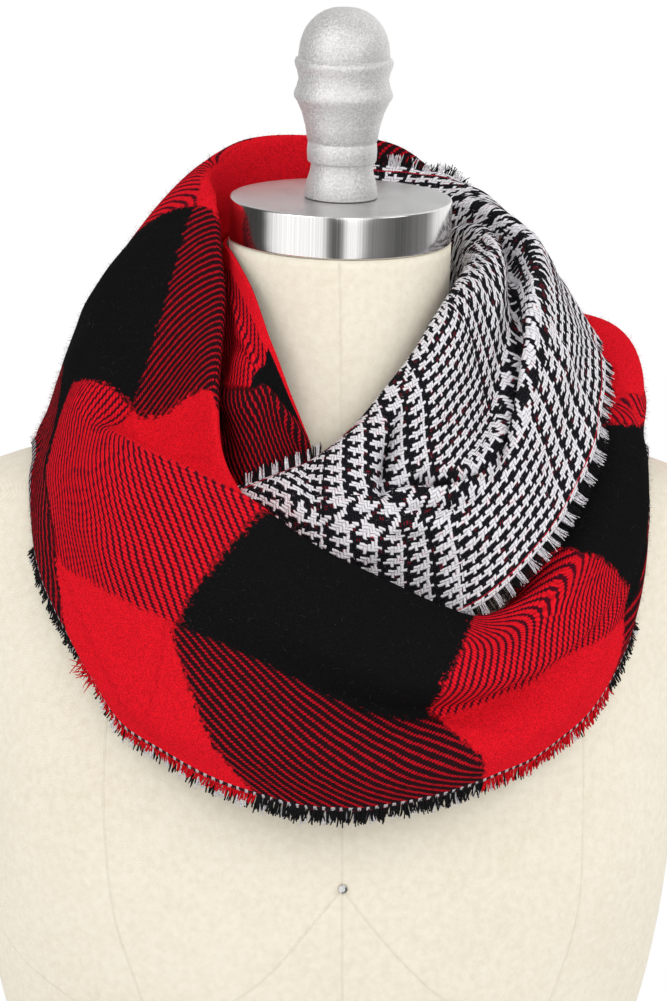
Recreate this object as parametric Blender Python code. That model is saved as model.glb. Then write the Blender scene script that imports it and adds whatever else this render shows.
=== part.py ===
"""A plaid infinity scarf, wound twice round a limbless linen dress form with a turned finial.

Units are metres, +Z is up, +Y points away from the viewer and the form's flat foot stands on Z = 0.
The scarf is drawn by half plane sections: each row of a table is one section at an azimuth, counted
from the front (-Y) towards the viewer's right (+X), and each pair of columns is a named place on it.
"""

import math
import random

import bmesh
import bpy
from mathutils import Vector
from mathutils.bvhtree import BVHTree

CLOTH = 0.0024
SEAT = 0.0004
FACET_ROOM = 0.0014
NECK_ROOM = 0.0002
EDGE_GAP = 0.0009
REACH = 0.006

NECK_RADIUS = 0.055
CAP_BOTTOM = 0.659
CAP_TOP = 0.680
CAP_EDGE_ROUND = 0.0012

FORM_SIDES = 40
FINIAL_SIDES = 24
WRAP_STATIONS = 62
COLLAR_STATIONS = 36
INNER_STATIONS = 22
STEPS = 2

STRAND_LENGTH = 0.0085
STRAND_WIDTH = 0.0016
STRAND_LENGTHS = (0.75, 1.1)
STRAND_LEAN = 0.35
STRAND_LIFT = 0.15
STRAND_TAPER = 0.45
STRIP_HEIGHT = 0.0030
STRIP_THICKNESS = 0.0016
STRANDS_A_SECTION = 2
COLLAR_FREE_FROM = 12
FLAP_FREE_FROM = 1
FLAP_FREE_TO = 4
SEED = 11

FORM_RINGS = (
    # z, half width, depth in front, depth behind, squareness
    (0.0000, 0.1720, 0.1080, 0.1180, 2.15),
    (0.0400, 0.1660, 0.1050, 0.1150, 2.15),
    (0.0900, 0.1500, 0.0980, 0.1040, 2.15),
    (0.1400, 0.1340, 0.0920, 0.0900, 2.10),
    (0.1750, 0.1310, 0.0910, 0.0850, 2.10),
    (0.2150, 0.1440, 0.0950, 0.0880, 2.10),
    (0.2570, 0.1620, 0.1020, 0.0930, 2.15),
    (0.3066, 0.1720, 0.1120, 0.1000, 2.20),
    (0.3550, 0.1765, 0.1160, 0.1060, 2.25),
    (0.4000, 0.1770, 0.1110, 0.1100, 2.25),
    (0.4400, 0.1780, 0.1020, 0.1090, 2.25),
    (0.4750, 0.1820, 0.0910, 0.1050, 2.20),
    (0.5050, 0.1870, 0.0790, 0.0970, 2.10),
    (0.5250, 0.1890, 0.0710, 0.0880, 2.00),
    (0.5380, 0.1830, 0.0650, 0.0790, 1.95),
    (0.5460, 0.1640, 0.0610, 0.0720, 1.95),
    (0.5540, 0.1340, 0.0580, 0.0660, 1.95),
    (0.5640, 0.0980, 0.0565, 0.0610, 2.00),
    (0.5780, 0.0660, 0.0555, 0.0575, 2.00),
    (0.5950, 0.0570, 0.0550, 0.0555, 2.00),
    (0.6200, 0.0550, 0.0550, 0.0550, 2.00),
)

STUD_PLACE = (0.0, 0.361)
STUD_PROFILE = (
    # distance from the form's front, radius
    (0.0004, 0.0024),
    (0.0010, 0.0026),
    (0.0018, 0.0021),
    (0.0023, 0.0010),
)
STUD_SIDES = 12

FINIAL_FOOT = CAP_TOP + SEAT
FINIAL_PROFILE = (
    # height above the cap, diameter
    (0.0000, 0.0363),
    (0.0074, 0.0344),
    (0.0120, 0.0316),
    (0.0162, 0.0303),
    (0.0182, 0.0340),
    (0.0226, 0.0346),
    (0.0270, 0.0340),
    (0.0280, 0.0347),
    (0.0350, 0.0368),
    (0.0420, 0.0408),
    (0.0472, 0.0455),
    (0.0490, 0.0482),
    (0.0506, 0.0487),
    (0.0522, 0.0480),
    (0.0583, 0.0443),
    (0.0646, 0.0479),
    (0.0664, 0.0487),
    (0.0680, 0.0474),
    (0.0690, 0.0451),
    (0.0760, 0.0436),
    (0.0830, 0.0384),
    (0.0890, 0.0282),
    (0.0930, 0.0140),
)

OUTER_WRAP = (
    # azimuth, then r and z of: hem, low roll, valley, belly,
    # ridge, dip, rim, tuck
    (-180, 0.122, 0.492, 0.137, 0.515, 0.131, 0.547, 0.139, 0.582,
     0.128, 0.624, 0.112, 0.657, 0.092, 0.694, 0.084, 0.654),
    (-155, 0.135, 0.490, 0.149, 0.512, 0.143, 0.544, 0.149, 0.580,
     0.138, 0.622, 0.118, 0.657, 0.090, 0.695, 0.080, 0.655),
    (-130, 0.150, 0.502, 0.160, 0.522, 0.158, 0.550, 0.153, 0.578,
     0.140, 0.616, 0.117, 0.652, 0.079, 0.689, 0.071, 0.650),
    (-108, 0.154, 0.534, 0.1545, 0.546, 0.149, 0.560, 0.143, 0.579,
     0.134, 0.605, 0.114, 0.643, 0.070, 0.686, 0.066, 0.648),
    (-92, 0.151, 0.5530, 0.1455, 0.560, 0.142, 0.569, 0.138, 0.583,
     0.130, 0.607, 0.110, 0.642, 0.0645, 0.682, 0.0655, 0.645),
    (-82, 0.1520, 0.5515, 0.147, 0.557, 0.145, 0.566, 0.141, 0.579,
     0.132, 0.601, 0.110, 0.632, 0.065, 0.678, 0.066, 0.640),
    (-76, 0.1570, 0.5415, 0.154, 0.548, 0.151, 0.558, 0.146, 0.570,
     0.135, 0.592, 0.110, 0.620, 0.065, 0.673, 0.066, 0.634),
    (-70, 0.1585, 0.511, 0.159, 0.525, 0.156, 0.540, 0.152, 0.558,
     0.139, 0.586, 0.110, 0.606, 0.066, 0.660, 0.068, 0.620),
    (-60, 0.158, 0.488, 0.163, 0.510, 0.160, 0.530, 0.158, 0.550,
     0.141, 0.580, 0.113, 0.576, 0.069, 0.638, 0.072, 0.602),
    (-52, 0.153, 0.459, 0.162, 0.486, 0.160, 0.519, 0.160, 0.545,
     0.140, 0.578, 0.114, 0.568, 0.078, 0.615, 0.080, 0.582),
    (-45, 0.1495, 0.4395, 0.160, 0.470, 0.159, 0.507, 0.159, 0.536,
     0.137, 0.574, 0.115, 0.563, 0.089, 0.597, 0.092, 0.565),
    (-33, 0.146, 0.424, 0.157, 0.452, 0.154, 0.494, 0.154, 0.526,
     0.130, 0.564, 0.118, 0.558, 0.109, 0.566, 0.105, 0.537),
    (-22, 0.142, 0.418, 0.153, 0.443, 0.150, 0.484, 0.152, 0.515,
     0.127, 0.553, 0.117, 0.548, 0.110, 0.540, 0.106, 0.510),
    (-8, 0.137, 0.409, 0.149, 0.436, 0.142, 0.470, 0.152, 0.497,
     0.126, 0.534, 0.116, 0.528, 0.110, 0.516, 0.106, 0.490),
    (8, 0.137, 0.410, 0.149, 0.432, 0.139, 0.458, 0.154, 0.480,
     0.127, 0.517, 0.116, 0.511, 0.110, 0.500, 0.107, 0.478),
    (20, 0.140, 0.416, 0.151, 0.435, 0.140, 0.457, 0.156, 0.476,
     0.129, 0.504, 0.117, 0.498, 0.111, 0.488, 0.108, 0.468),
    (30, 0.142, 0.421, 0.153, 0.441, 0.143, 0.462, 0.158, 0.479,
     0.132, 0.494, 0.122, 0.488, 0.116, 0.480, 0.112, 0.466),
    (40, 0.145, 0.427, 0.155, 0.448, 0.148, 0.470, 0.159, 0.488,
     0.142, 0.507, 0.127, 0.502, 0.119, 0.492, 0.115, 0.478),
    (52, 0.150, 0.442, 0.158, 0.464, 0.157, 0.486, 0.160, 0.507,
     0.150, 0.531, 0.134, 0.539, 0.121, 0.530, 0.116, 0.512),
    (65, 0.157, 0.474, 0.161, 0.494, 0.1615, 0.515, 0.162, 0.536,
     0.154, 0.562, 0.138, 0.573, 0.121, 0.568, 0.114, 0.552),
    (73, 0.158, 0.512, 0.159, 0.526, 0.158, 0.542, 0.157, 0.558,
     0.148, 0.578, 0.134, 0.583, 0.117, 0.578, 0.108, 0.562),
    (81, 0.156, 0.5505, 0.151, 0.558, 0.153, 0.566, 0.151, 0.575,
     0.143, 0.584, 0.130, 0.585, 0.115, 0.579, 0.104, 0.568),
    (97, 0.158, 0.5505, 0.153, 0.558, 0.157, 0.567, 0.156, 0.580,
     0.148, 0.596, 0.131, 0.598, 0.113, 0.591, 0.101, 0.576),
    (108, 0.157, 0.541, 0.160, 0.552, 0.161, 0.564, 0.160, 0.580,
     0.151, 0.600, 0.132, 0.608, 0.112, 0.604, 0.100, 0.586),
    (118, 0.153, 0.528, 0.162, 0.544, 0.162, 0.560, 0.159, 0.578,
     0.148, 0.598, 0.130, 0.611, 0.111, 0.613, 0.099, 0.594),
    (132, 0.145, 0.508, 0.158, 0.528, 0.158, 0.552, 0.156, 0.580,
     0.144, 0.612, 0.124, 0.637, 0.107, 0.648, 0.097, 0.620),
    (155, 0.130, 0.494, 0.145, 0.517, 0.138, 0.547, 0.147, 0.582,
     0.134, 0.622, 0.114, 0.656, 0.095, 0.688, 0.087, 0.648),
)

COLLAR = (
    # azimuth, then r and z of: foot, inner roll, crest, crease, outer roll, fall, fringed edge
    (-34, 0.0960, 0.551, 0.0965, 0.552, 0.0975, 0.550, 0.0985, 0.546,
     0.0990, 0.538, 0.0985, 0.522, 0.0975, 0.505),
    (-22, 0.0800, 0.556, 0.0830, 0.559, 0.0880, 0.558, 0.0940, 0.553,
     0.0990, 0.542, 0.0995, 0.523, 0.0975, 0.500),
    (-12, 0.0690, 0.556, 0.0725, 0.564, 0.0800, 0.564, 0.0890, 0.557,
     0.0985, 0.543, 0.1000, 0.522, 0.0970, 0.494),
    (4, 0.0600, 0.560, 0.0665, 0.580, 0.0770, 0.576, 0.0870, 0.558,
     0.0980, 0.543, 0.1000, 0.519, 0.0970, 0.488),
    (17, 0.0590, 0.575, 0.0665, 0.598, 0.0780, 0.588, 0.0880, 0.560,
     0.0980, 0.546, 0.1020, 0.520, 0.1000, 0.486),
    (30, 0.0580, 0.590, 0.0670, 0.615, 0.0800, 0.603, 0.0920, 0.565,
     0.1040, 0.556, 0.1160, 0.530, 0.1240, 0.501),
    (42, 0.0570, 0.600, 0.0660, 0.631, 0.0800, 0.622, 0.0960, 0.578,
     0.1100, 0.576, 0.1270, 0.555, 0.1385, 0.530),
    (55, 0.0567, 0.604, 0.0650, 0.642, 0.0780, 0.641, 0.0940, 0.613,
     0.1090, 0.616, 0.1270, 0.592, 0.1425, 0.565),
    (68, 0.0567, 0.606, 0.0640, 0.648, 0.0760, 0.652, 0.0900, 0.634,
     0.1040, 0.636, 0.1220, 0.613, 0.1360, 0.590),
    (82, 0.0567, 0.608, 0.0640, 0.650, 0.0750, 0.657, 0.0870, 0.645,
     0.1010, 0.648, 0.1170, 0.624, 0.1300, 0.606),
    (98, 0.0567, 0.608, 0.0640, 0.650, 0.0740, 0.660, 0.0850, 0.652,
     0.0985, 0.657, 0.1135, 0.637, 0.1245, 0.617),
    (112, 0.0570, 0.606, 0.0640, 0.645, 0.0720, 0.660, 0.0800, 0.660,
     0.0900, 0.666, 0.1030, 0.657, 0.1120, 0.639),
    (125, 0.0580, 0.604, 0.0640, 0.638, 0.0690, 0.654, 0.0750, 0.662,
     0.0830, 0.671, 0.0910, 0.674, 0.0985, 0.667),
    (140, 0.0600, 0.602, 0.0640, 0.630, 0.0670, 0.648, 0.0700, 0.660,
     0.0750, 0.670, 0.0810, 0.677, 0.0875, 0.679),
    (160, 0.0620, 0.600, 0.0640, 0.626, 0.0660, 0.645, 0.0680, 0.657,
     0.0710, 0.668, 0.0745, 0.676, 0.0785, 0.683),
    (178, 0.0640, 0.600, 0.0650, 0.626, 0.0655, 0.643, 0.0670, 0.656,
     0.0690, 0.667, 0.0715, 0.675, 0.0745, 0.682),
)

INNER_LEFT = (
    # azimuth, then r and z of: top, groove, second roll, face, foot
    (-176, 0.0590, 0.655, 0.0600, 0.642, 0.0610, 0.628, 0.0620, 0.612, 0.0625, 0.600),
    (-150, 0.0580, 0.655, 0.0590, 0.642, 0.0600, 0.628, 0.0610, 0.612, 0.0615, 0.600),
    (-120, 0.0570, 0.656, 0.0580, 0.642, 0.0590, 0.628, 0.0600, 0.610, 0.0610, 0.598),
    (-95, 0.0567, 0.656, 0.0575, 0.642, 0.0590, 0.628, 0.0610, 0.608, 0.0620, 0.594),
    (-75, 0.0575, 0.656, 0.0580, 0.641, 0.0595, 0.626, 0.0620, 0.606, 0.0635, 0.590),
    (-60, 0.0600, 0.652, 0.0605, 0.636, 0.0620, 0.620, 0.0650, 0.599, 0.0665, 0.584),
    (-45, 0.0640, 0.641, 0.0665, 0.624, 0.0720, 0.614, 0.0790, 0.590, 0.0800, 0.570),
    (-32, 0.0665, 0.616, 0.0715, 0.605, 0.0800, 0.602, 0.0880, 0.580, 0.0885, 0.562),
    (-23, 0.0670, 0.592, 0.0705, 0.585, 0.0735, 0.579, 0.0745, 0.567, 0.0735, 0.555),
    (-16, 0.0640, 0.571, 0.0650, 0.566, 0.0655, 0.561, 0.0655, 0.556, 0.0645, 0.551),
)


OUTER_FOLDS = (
    # azimuth and place across where it starts and where it ends, half width, height
    (-62, 0.4, -24, 0.9, 0.010, 0.0025),
    (-74, 2.8, -48, 3.6, 0.011, 0.0020),
    (36, 3.2, 62, 3.8, 0.010, 0.0025),
    (48, 1.0, 70, 1.9, 0.010, -0.0025),
    (102, 2.0, 140, 2.9, 0.012, -0.0035),
    (112, 3.6, 150, 4.2, 0.012, 0.0035),
    (162, 3.4, 196, 4.1, 0.013, -0.0030),
    (200, 2.4, 240, 3.4, 0.012, 0.0035),
    (214, 4.4, 250, 4.9, 0.011, -0.0030),
)

COLLAR_FOLDS = (
    # azimuth and place across where it starts and where it ends, half width, height
    (11, 3.2, 17, 2.2, 0.0060, -0.0060),
    (-6, 5.1, 14, 4.2, 0.0075, 0.0045),
    (14, 4.2, 37, 5.1, 0.0075, 0.0045),
    (19, 3.1, 36, 4.0, 0.0065, -0.0045),
    (-15, 2.0, -8, 4.2, 0.0060, -0.0035),
    (30, 1.3, 60, 1.7, 0.0080, 0.0020),
    (44, 5.1, 74, 5.4, 0.0090, -0.0020),
    (100, 1.3, 150, 2.4, 0.0090, 0.0020),
)


def start_clean():
    for other in list(bpy.data.objects):
        bpy.data.objects.remove(other, do_unlink=True)


def finish(name, colour, roughness, metallic=0.0):
    material = bpy.data.materials.new(name)
    material.use_nodes = True
    shader = material.node_tree.nodes["Principled BSDF"]
    shader.inputs["Base Color"].default_value = (*colour, 1.0)
    shader.inputs["Roughness"].default_value = roughness
    shader.inputs["Metallic"].default_value = metallic
    material.diffuse_color = (*colour, 1.0)
    return material


def add_object(name, points, faces, material, smooth_angle=40.0):
    mesh = bpy.data.meshes.new(name)
    mesh.from_pydata([tuple(p) for p in points], [], faces)
    mesh.validate()
    work = bmesh.new()
    work.from_mesh(mesh)
    bmesh.ops.recalc_face_normals(work, faces=work.faces)
    if work.calc_volume(signed=True) < 0:
        bmesh.ops.reverse_faces(work, faces=work.faces)
    work.to_mesh(mesh)
    work.free()
    mesh.materials.append(material)
    mesh.shade_smooth()
    mesh.set_sharp_from_angle(angle=math.radians(smooth_angle))
    obj = bpy.data.objects.new(name, mesh)
    bpy.context.scene.collection.objects.link(obj)
    return obj


def closed_tube(name, points, sides, material, smooth_angle):
    """A closed body from rings of points, from its first flat end to its last one."""
    rings = len(points) // sides
    faces = []
    for ring in range(rings - 1):
        low = ring * sides
        for k in range(sides):
            after = (k + 1) % sides
            faces.append((low + k, low + after, low + sides + after, low + sides + k))
    faces.append(tuple(reversed(range(sides))))
    top = (rings - 1) * sides
    faces.append(tuple(range(top, top + sides)))
    return add_object(name, points, faces, material, smooth_angle)


def lathe(name, profile, material, sides, smooth_angle):
    """Turns (radius, z) pairs, from bottom to top, into a closed body with flat ends."""
    points = []
    for radius, z in profile:
        for k in range(sides):
            turn = 2 * math.pi * k / sides
            points.append((radius * math.cos(turn), radius * math.sin(turn), z))
    return closed_tube(name, points, sides, material, smooth_angle)


def hermite(values, places, at, closed_span=None):
    """A smooth curve through values at the given places, read at one place."""
    count = len(places)
    if closed_span:
        at = places[0] + (at - places[0]) % closed_span
    index = count - 1
    for i in range(count - 1):
        if at <= places[i + 1]:
            index = i
            break
    if index == count - 1 and not closed_span:
        index = count - 2

    def known(i):
        turns, k = divmod(i, count) if closed_span else (0, min(max(i, 0), count - 1))
        return places[k] + turns * (closed_span or 0), values[k]

    (x0, y0), (x1, y1) = known(index - 1), known(index)
    (x2, y2), (x3, y3) = known(index + 1), known(index + 2)
    span = x2 - x1
    t = (at - x1) / span
    slope1 = (y2 - y0) / (x2 - x0)
    slope2 = (y3 - y1) / (x3 - x1)
    a = 2 * t**3 - 3 * t**2 + 1
    b = t**3 - 2 * t**2 + t
    c = -2 * t**3 + 3 * t**2
    d = t**3 - t**2
    return a * y1 + b * span * slope1 + c * y2 + d * span * slope2


def section_at(table, azimuth, closed):
    """The named places of the section at an azimuth, as (r, z) pairs, read between the table's rows."""
    places = [row[0] for row in table]
    span = 360 if closed else None
    found = []
    for column in range(1, len(table[0])):
        found.append(hermite([row[column] for row in table], places, azimuth, span))
    return list(zip(found[0::2], found[1::2]))


def smooth_line(corners, steps):
    """A smooth line through the corners, with the same number of steps from each corner to the next."""
    marks = [0.0]
    for a, b in zip(corners, corners[1:]):
        marks.append(marks[-1] + math.dist(a, b))
    line = []
    for i in range((len(corners) - 1) * steps + 1):
        corner, step = divmod(i, steps)
        at = marks[corner]
        if step:
            at += (marks[corner + 1] - marks[corner]) * step / steps
        line.append(tuple(hermite([c[k] for c in corners], marks, at) for k in range(2)))
    return line


def in_space(azimuth, r, z):
    turn = math.radians(azimuth)
    return Vector((r * math.sin(turn), -r * math.cos(turn), z))


def cloth_grid(table, azimuths, closed=False):
    """The cloth's middle surface: a list of sections, each a list of points in space."""
    grid = []
    for azimuth in azimuths:
        line = smooth_line(section_at(table, azimuth, closed), STEPS)
        grid.append([in_space(azimuth, r, z) for r, z in line])
    return grid


def grid_normals(grid, closed):
    """Unit vectors square to the cloth, one for each point of its grid."""
    stations, count = len(grid), len(grid[0])
    normals = []
    for i in range(stations):
        before = grid[(i - 1) % stations] if closed or i else grid[i]
        after = grid[(i + 1) % stations] if closed or i < stations - 1 else grid[i]
        row = []
        for j in range(count):
            along = after[j] - before[j]
            across = grid[i][min(j + 1, count - 1)] - grid[i][max(j - 1, 0)]
            row.append(along.cross(across).normalized())
        normals.append(row)
    return normals


def wall(name, grid, material, closed=False, thickness=CLOTH):
    """A wall of cloth with the grid at its middle and half its thickness on each side."""
    normals = grid_normals(grid, closed)
    stations, count = len(grid), len(grid[0])
    points = []
    for side in (0.5, -0.5):
        for row, square in zip(grid, normals):
            points += [p + n * (side * thickness) for p, n in zip(row, square)]
    back = stations * count
    faces = []
    for i in range(stations if closed else stations - 1):
        here, there = i * count, ((i + 1) % stations) * count
        for j in range(count - 1):
            faces.append((here + j, there + j, there + j + 1, here + j + 1))
            faces.append((back + here + j + 1, back + there + j + 1, back + there + j, back + here + j))
        for j in (0, count - 1):
            faces.append((here + j, there + j, back + there + j, back + here + j))
    if not closed:
        for start in (0, (stations - 1) * count):
            for j in range(count - 1):
                faces.append((start + j, start + j + 1, back + start + j + 1, back + start + j))
    return add_object(name, points, faces, material)


def even(first, last, count):
    return [first + (last - first) * i / (count - 1) for i in range(count)]


def even_along_edge(table, column, first, last, count, closed=False):
    """Azimuths that space the stations evenly along one edge of the cloth."""
    fine = even(first, last, 361)
    edge = [in_space(azimuth, *section_at(table, azimuth, closed)[column]) for azimuth in fine]
    lengths = [0.0]
    for a, b in zip(edge, edge[1:]):
        lengths.append(lengths[-1] + (b - a).length)
    gaps = count if closed else count - 1
    azimuths = []
    place = 0
    for i in range(count):
        at = lengths[-1] * i / gaps
        while place < len(fine) - 2 and lengths[place + 1] < at:
            place += 1
        step = (at - lengths[place]) / (lengths[place + 1] - lengths[place])
        azimuths.append(fine[place] + (fine[place + 1] - fine[place]) * step)
    return azimuths


def press_folds(grid, azimuths, folds, closed=False, outward=1):
    """Raises or sinks the cloth in soft lines, each from one place on it to another.

    Sections that start at the neck have their normals inwards, so there outward is -1.
    """
    count = len(grid[0])
    normals = grid_normals(grid, closed)
    gaps = [sum(math.dist(a, b) for a, b in zip(row, row[1:])) * STEPS / (count - 1) for row in grid]
    raised = []
    for azimuth, row, square, gap in zip(azimuths, grid, normals, gaps):
        raised_row = []
        for j, (p, n) in enumerate(zip(row, square)):
            place = j / STEPS
            lift = 0.0
            for start, start_place, end, end_place, half, height in folds:
                turned = azimuth
                if closed and abs(turned + 360 - (start + end) / 2) < abs(turned - (start + end) / 2):
                    turned += 360
                arc = math.radians(1) * math.hypot(p.x, p.y)
                along = Vector(((end - start) * arc, (end_place - start_place) * gap))
                here = Vector(((turned - start) * arc, (place - start_place) * gap))
                part_way = min(max(here.dot(along) / along.length_squared, 0.0), 1.0)
                away = (here - along * part_way).length
                fade = math.sin(math.pi * (0.15 + 0.7 * part_way))
                lift += height * fade * math.exp(-((away / half) ** 2))
            raised_row.append(p + n * (outward * lift))
        raised.append(raised_row)
    return raised


def surface_of(obj):
    return BVHTree.FromPolygons(
        [tuple(v.co) for v in obj.data.vertices], [tuple(f.vertices) for f in obj.data.polygons]
    )


def kept_clear(point, surfaces, half_thickness):
    """The point, moved out until cloth of that half thickness clears each closed surface by its gap."""
    for surface, room in surfaces:
        gap = half_thickness + room
        spot, square, _, _ = surface.find_nearest(point)
        height = (point - spot).dot(square)
        if height < gap and (point - spot).length < 3 * REACH:
            point = point + square * (gap - height)
    return point


def laid_over(grid, surfaces):
    """The cloth's grid, resting on what lies under it."""
    return [[kept_clear(p, surfaces, CLOTH / 2) for p in row] for row in grid]


def fringe(name, edge, outward, square, material, dice, surfaces, closed=False):
    """Strands that grow out of every second face of a narrow strip beside the cloth's edge."""
    count = len(edge)
    points = []
    for p, out, up in zip(edge, outward, square):
        root = p + out * EDGE_GAP
        tip = kept_clear(root + out * STRIP_HEIGHT, surfaces, STRIP_THICKNESS)
        half = up * (STRIP_THICKNESS / 2)
        points += [root - half, root + half, tip + half, tip - half]
    faces = []
    for i in range(count if closed else count - 1):
        here, there = 4 * i, 4 * ((i + 1) % count)
        faces.append((here, there, there + 1, here + 1))
        faces.append((here + 1, there + 1, there + 2, here + 2))
        faces.append((here + 3, there + 3, there, here))
        root = (here + 2, there + 2, there + 3, here + 3)
        if i % 2:
            faces.append(root)
            continue
        corners = [points[k] for k in root]
        middle = sum(corners, Vector()) / 4
        along = (corners[1] - corners[0]).normalized()
        out = outward[i]
        lean = along * dice.uniform(-STRAND_LEAN, STRAND_LEAN)
        lean += square[i] * dice.uniform(-STRAND_LIFT, STRAND_LIFT)
        end = middle + (out + lean) * STRAND_LENGTH * dice.uniform(*STRAND_LENGTHS)
        end = kept_clear(end, surfaces, STRIP_THICKNESS)
        first = len(points)
        for corner in corners:
            points.append(end + (corner - middle) * STRAND_TAPER)
        for k in range(4):
            after = (k + 1) % 4
            faces.append((root[k], root[after], first + after, first + k))
        faces.append((first, first + 1, first + 2, first + 3))
    if not closed:
        last = 4 * (count - 1)
        faces.append((0, 1, 2, 3))
        faces.append((last, last + 1, last + 2, last + 3))
    return add_object(name, points, faces, material, smooth_angle=30.0)


def edge_fringe(name, grid, column, inner_column, material, dice, strands, surfaces, closed=False):
    """A fringe along one edge of a cloth grid, with so many strands from each section to the next."""
    normals = grid_normals(grid, closed)
    total = len(grid)
    out = []
    for i, row in enumerate(grid):
        before = grid[(i - 1) % total] if closed or i else row
        after = grid[(i + 1) % total] if closed or i < total - 1 else row
        along = (after[column] - before[column]).normalized()
        across = row[column] - row[inner_column]
        out.append((across - along * across.dot(along)).normalized())
    edge, outward, square = [], [], []

    def add_place(i, after, step):
        edge.append(grid[i][column].lerp(grid[after][column], step))
        direction = out[i].lerp(out[after], step).normalized()
        normal = normals[i][column].lerp(normals[after][column], step)
        outward.append(direction)
        square.append((normal - direction * normal.dot(direction)).normalized())

    for i in range(total if closed else total - 1):
        after = (i + 1) % total
        root = STRAND_WIDTH / (grid[after][column] - grid[i][column]).length
        for strand in range(strands):
            add_place(i, after, strand / strands)
            add_place(i, after, strand / strands + root)
    if not closed:
        add_place(total - 2, total - 1, 1.0)
    return fringe(name, edge, outward, square, material, dice, surfaces, closed)


def form_ring(z, half_width, front, behind, squareness):
    ring = []
    for k in range(FORM_SIDES):
        turn = 2 * math.pi * k / FORM_SIDES
        c, s = math.cos(turn), math.sin(turn)
        x = half_width * math.copysign(abs(c) ** (2 / squareness), c)
        depth = behind if s > 0 else front
        y = depth * math.copysign(abs(s) ** (2 / squareness), s)
        ring.append((x, y, z))
    return ring


def dress_form(material):
    rings = [form_ring(*row) for row in FORM_RINGS]
    rings.append(form_ring(CAP_BOTTOM - SEAT, NECK_RADIUS, NECK_RADIUS, NECK_RADIUS, 2.0))
    points = [p for ring in rings for p in ring]
    return closed_tube("dress_form", points, FORM_SIDES, material, 50.0)


def neck_cap(material):
    inset = NECK_RADIUS - CAP_EDGE_ROUND
    profile = (
        (inset, CAP_BOTTOM),
        (NECK_RADIUS, CAP_BOTTOM + CAP_EDGE_ROUND),
        (NECK_RADIUS, CAP_TOP - CAP_EDGE_ROUND),
        (inset, CAP_TOP),
    )
    return lathe("neck_cap", profile, material, FORM_SIDES, 30.0)


def finial(material):
    profile = [(diameter / 2, FINIAL_FOOT + height) for height, diameter in FINIAL_PROFILE]
    return lathe("finial", profile, material, FINIAL_SIDES, 40.0)


def front_stud(form, material):
    """A small round pin whose flat back faces the form's centre front."""
    x, z = STUD_PLACE
    spot, square, _, _ = surface_of(form).ray_cast(Vector((x, -1.0, z)), Vector((0.0, 1.0, 0.0)))
    turn = square.to_track_quat("Z", "Y")
    points = []
    for away, radius in STUD_PROFILE:
        for k in range(STUD_SIDES):
            angle = 2 * math.pi * k / STUD_SIDES
            flat = Vector((radius * math.cos(angle), radius * math.sin(angle), away))
            points.append(spot + turn @ flat)
    return closed_tube("front_stud", points, STUD_SIDES, material, 30.0)


def scarf(form, cap, buffalo, glen, dark_yarn):
    dice = random.Random(SEED)
    form_surface = surface_of(form)
    under = [(form_surface, SEAT + FACET_ROOM)]
    neck = [(form_surface, SEAT + NECK_ROOM), (surface_of(cap), SEAT + NECK_ROOM)]

    stations = even_along_edge(OUTER_WRAP, 0, -180, 180, WRAP_STATIONS, closed=True)
    outer = cloth_grid(OUTER_WRAP, stations, closed=True)
    outer = laid_over(press_folds(outer, stations, OUTER_FOLDS, closed=True), under)
    outer_wrap = wall("outer_wrap", outer, buffalo, closed=True)

    over_wrap = neck + [(surface_of(outer_wrap), SEAT + FACET_ROOM)]
    stations = even_along_edge(COLLAR, -1, COLLAR[0][0], COLLAR[-1][0], COLLAR_STATIONS)
    collar = cloth_grid(COLLAR, stations)
    collar = laid_over(press_folds(collar, stations, COLLAR_FOLDS, outward=-1), over_wrap)
    inner_right = wall("inner_wrap_right", collar, glen)

    over_both = over_wrap + [(surface_of(inner_right), SEAT + FACET_ROOM)]
    stations = even(INNER_LEFT[0][0], INNER_LEFT[-1][0], INNER_STATIONS)
    left = laid_over(cloth_grid(INNER_LEFT, stations), over_both)
    inner_left = wall("inner_wrap_left", left, buffalo)

    strands = STRANDS_A_SECTION
    edge_fringe("hem_fringe", outer, 0, 1, dark_yarn, dice, strands, under, closed=True)
    free_edge = collar[COLLAR_FREE_FROM:]
    edge_fringe("collar_fringe", free_edge, -1, -2, dark_yarn, dice, strands, over_wrap)
    flap = collar[FLAP_FREE_FROM : FLAP_FREE_TO + 1]
    over_left = over_wrap + [(surface_of(inner_left), SEAT + FACET_ROOM)]
    edge_fringe("flap_fringe", flap, 0, 1, dark_yarn, dice, strands, over_left)


def build():
    start_clean()
    linen = finish("cream_linen", (0.80, 0.76, 0.66), 0.9)
    steel = finish("brushed_steel", (0.62, 0.62, 0.62), 0.25, 1.0)
    cast = finish("cast_aluminium", (0.58, 0.58, 0.58), 0.5, 0.9)
    buffalo = finish("red_and_black_check", (0.60, 0.02, 0.04), 0.95)
    glen = finish("black_and_white_plaid", (0.55, 0.54, 0.56), 0.95)
    yarn = finish("black_yarn", (0.03, 0.03, 0.03), 0.95)
    form = dress_form(linen)
    cap = neck_cap(steel)
    finial(cast)
    front_stud(form, steel)
    scarf(form, cap, buffalo, glen, yarn)


build()
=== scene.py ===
import math
import random

import bpy
import numpy as np
from mathutils import Matrix, Vector
from mathutils.bvhtree import BVHTree


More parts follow.
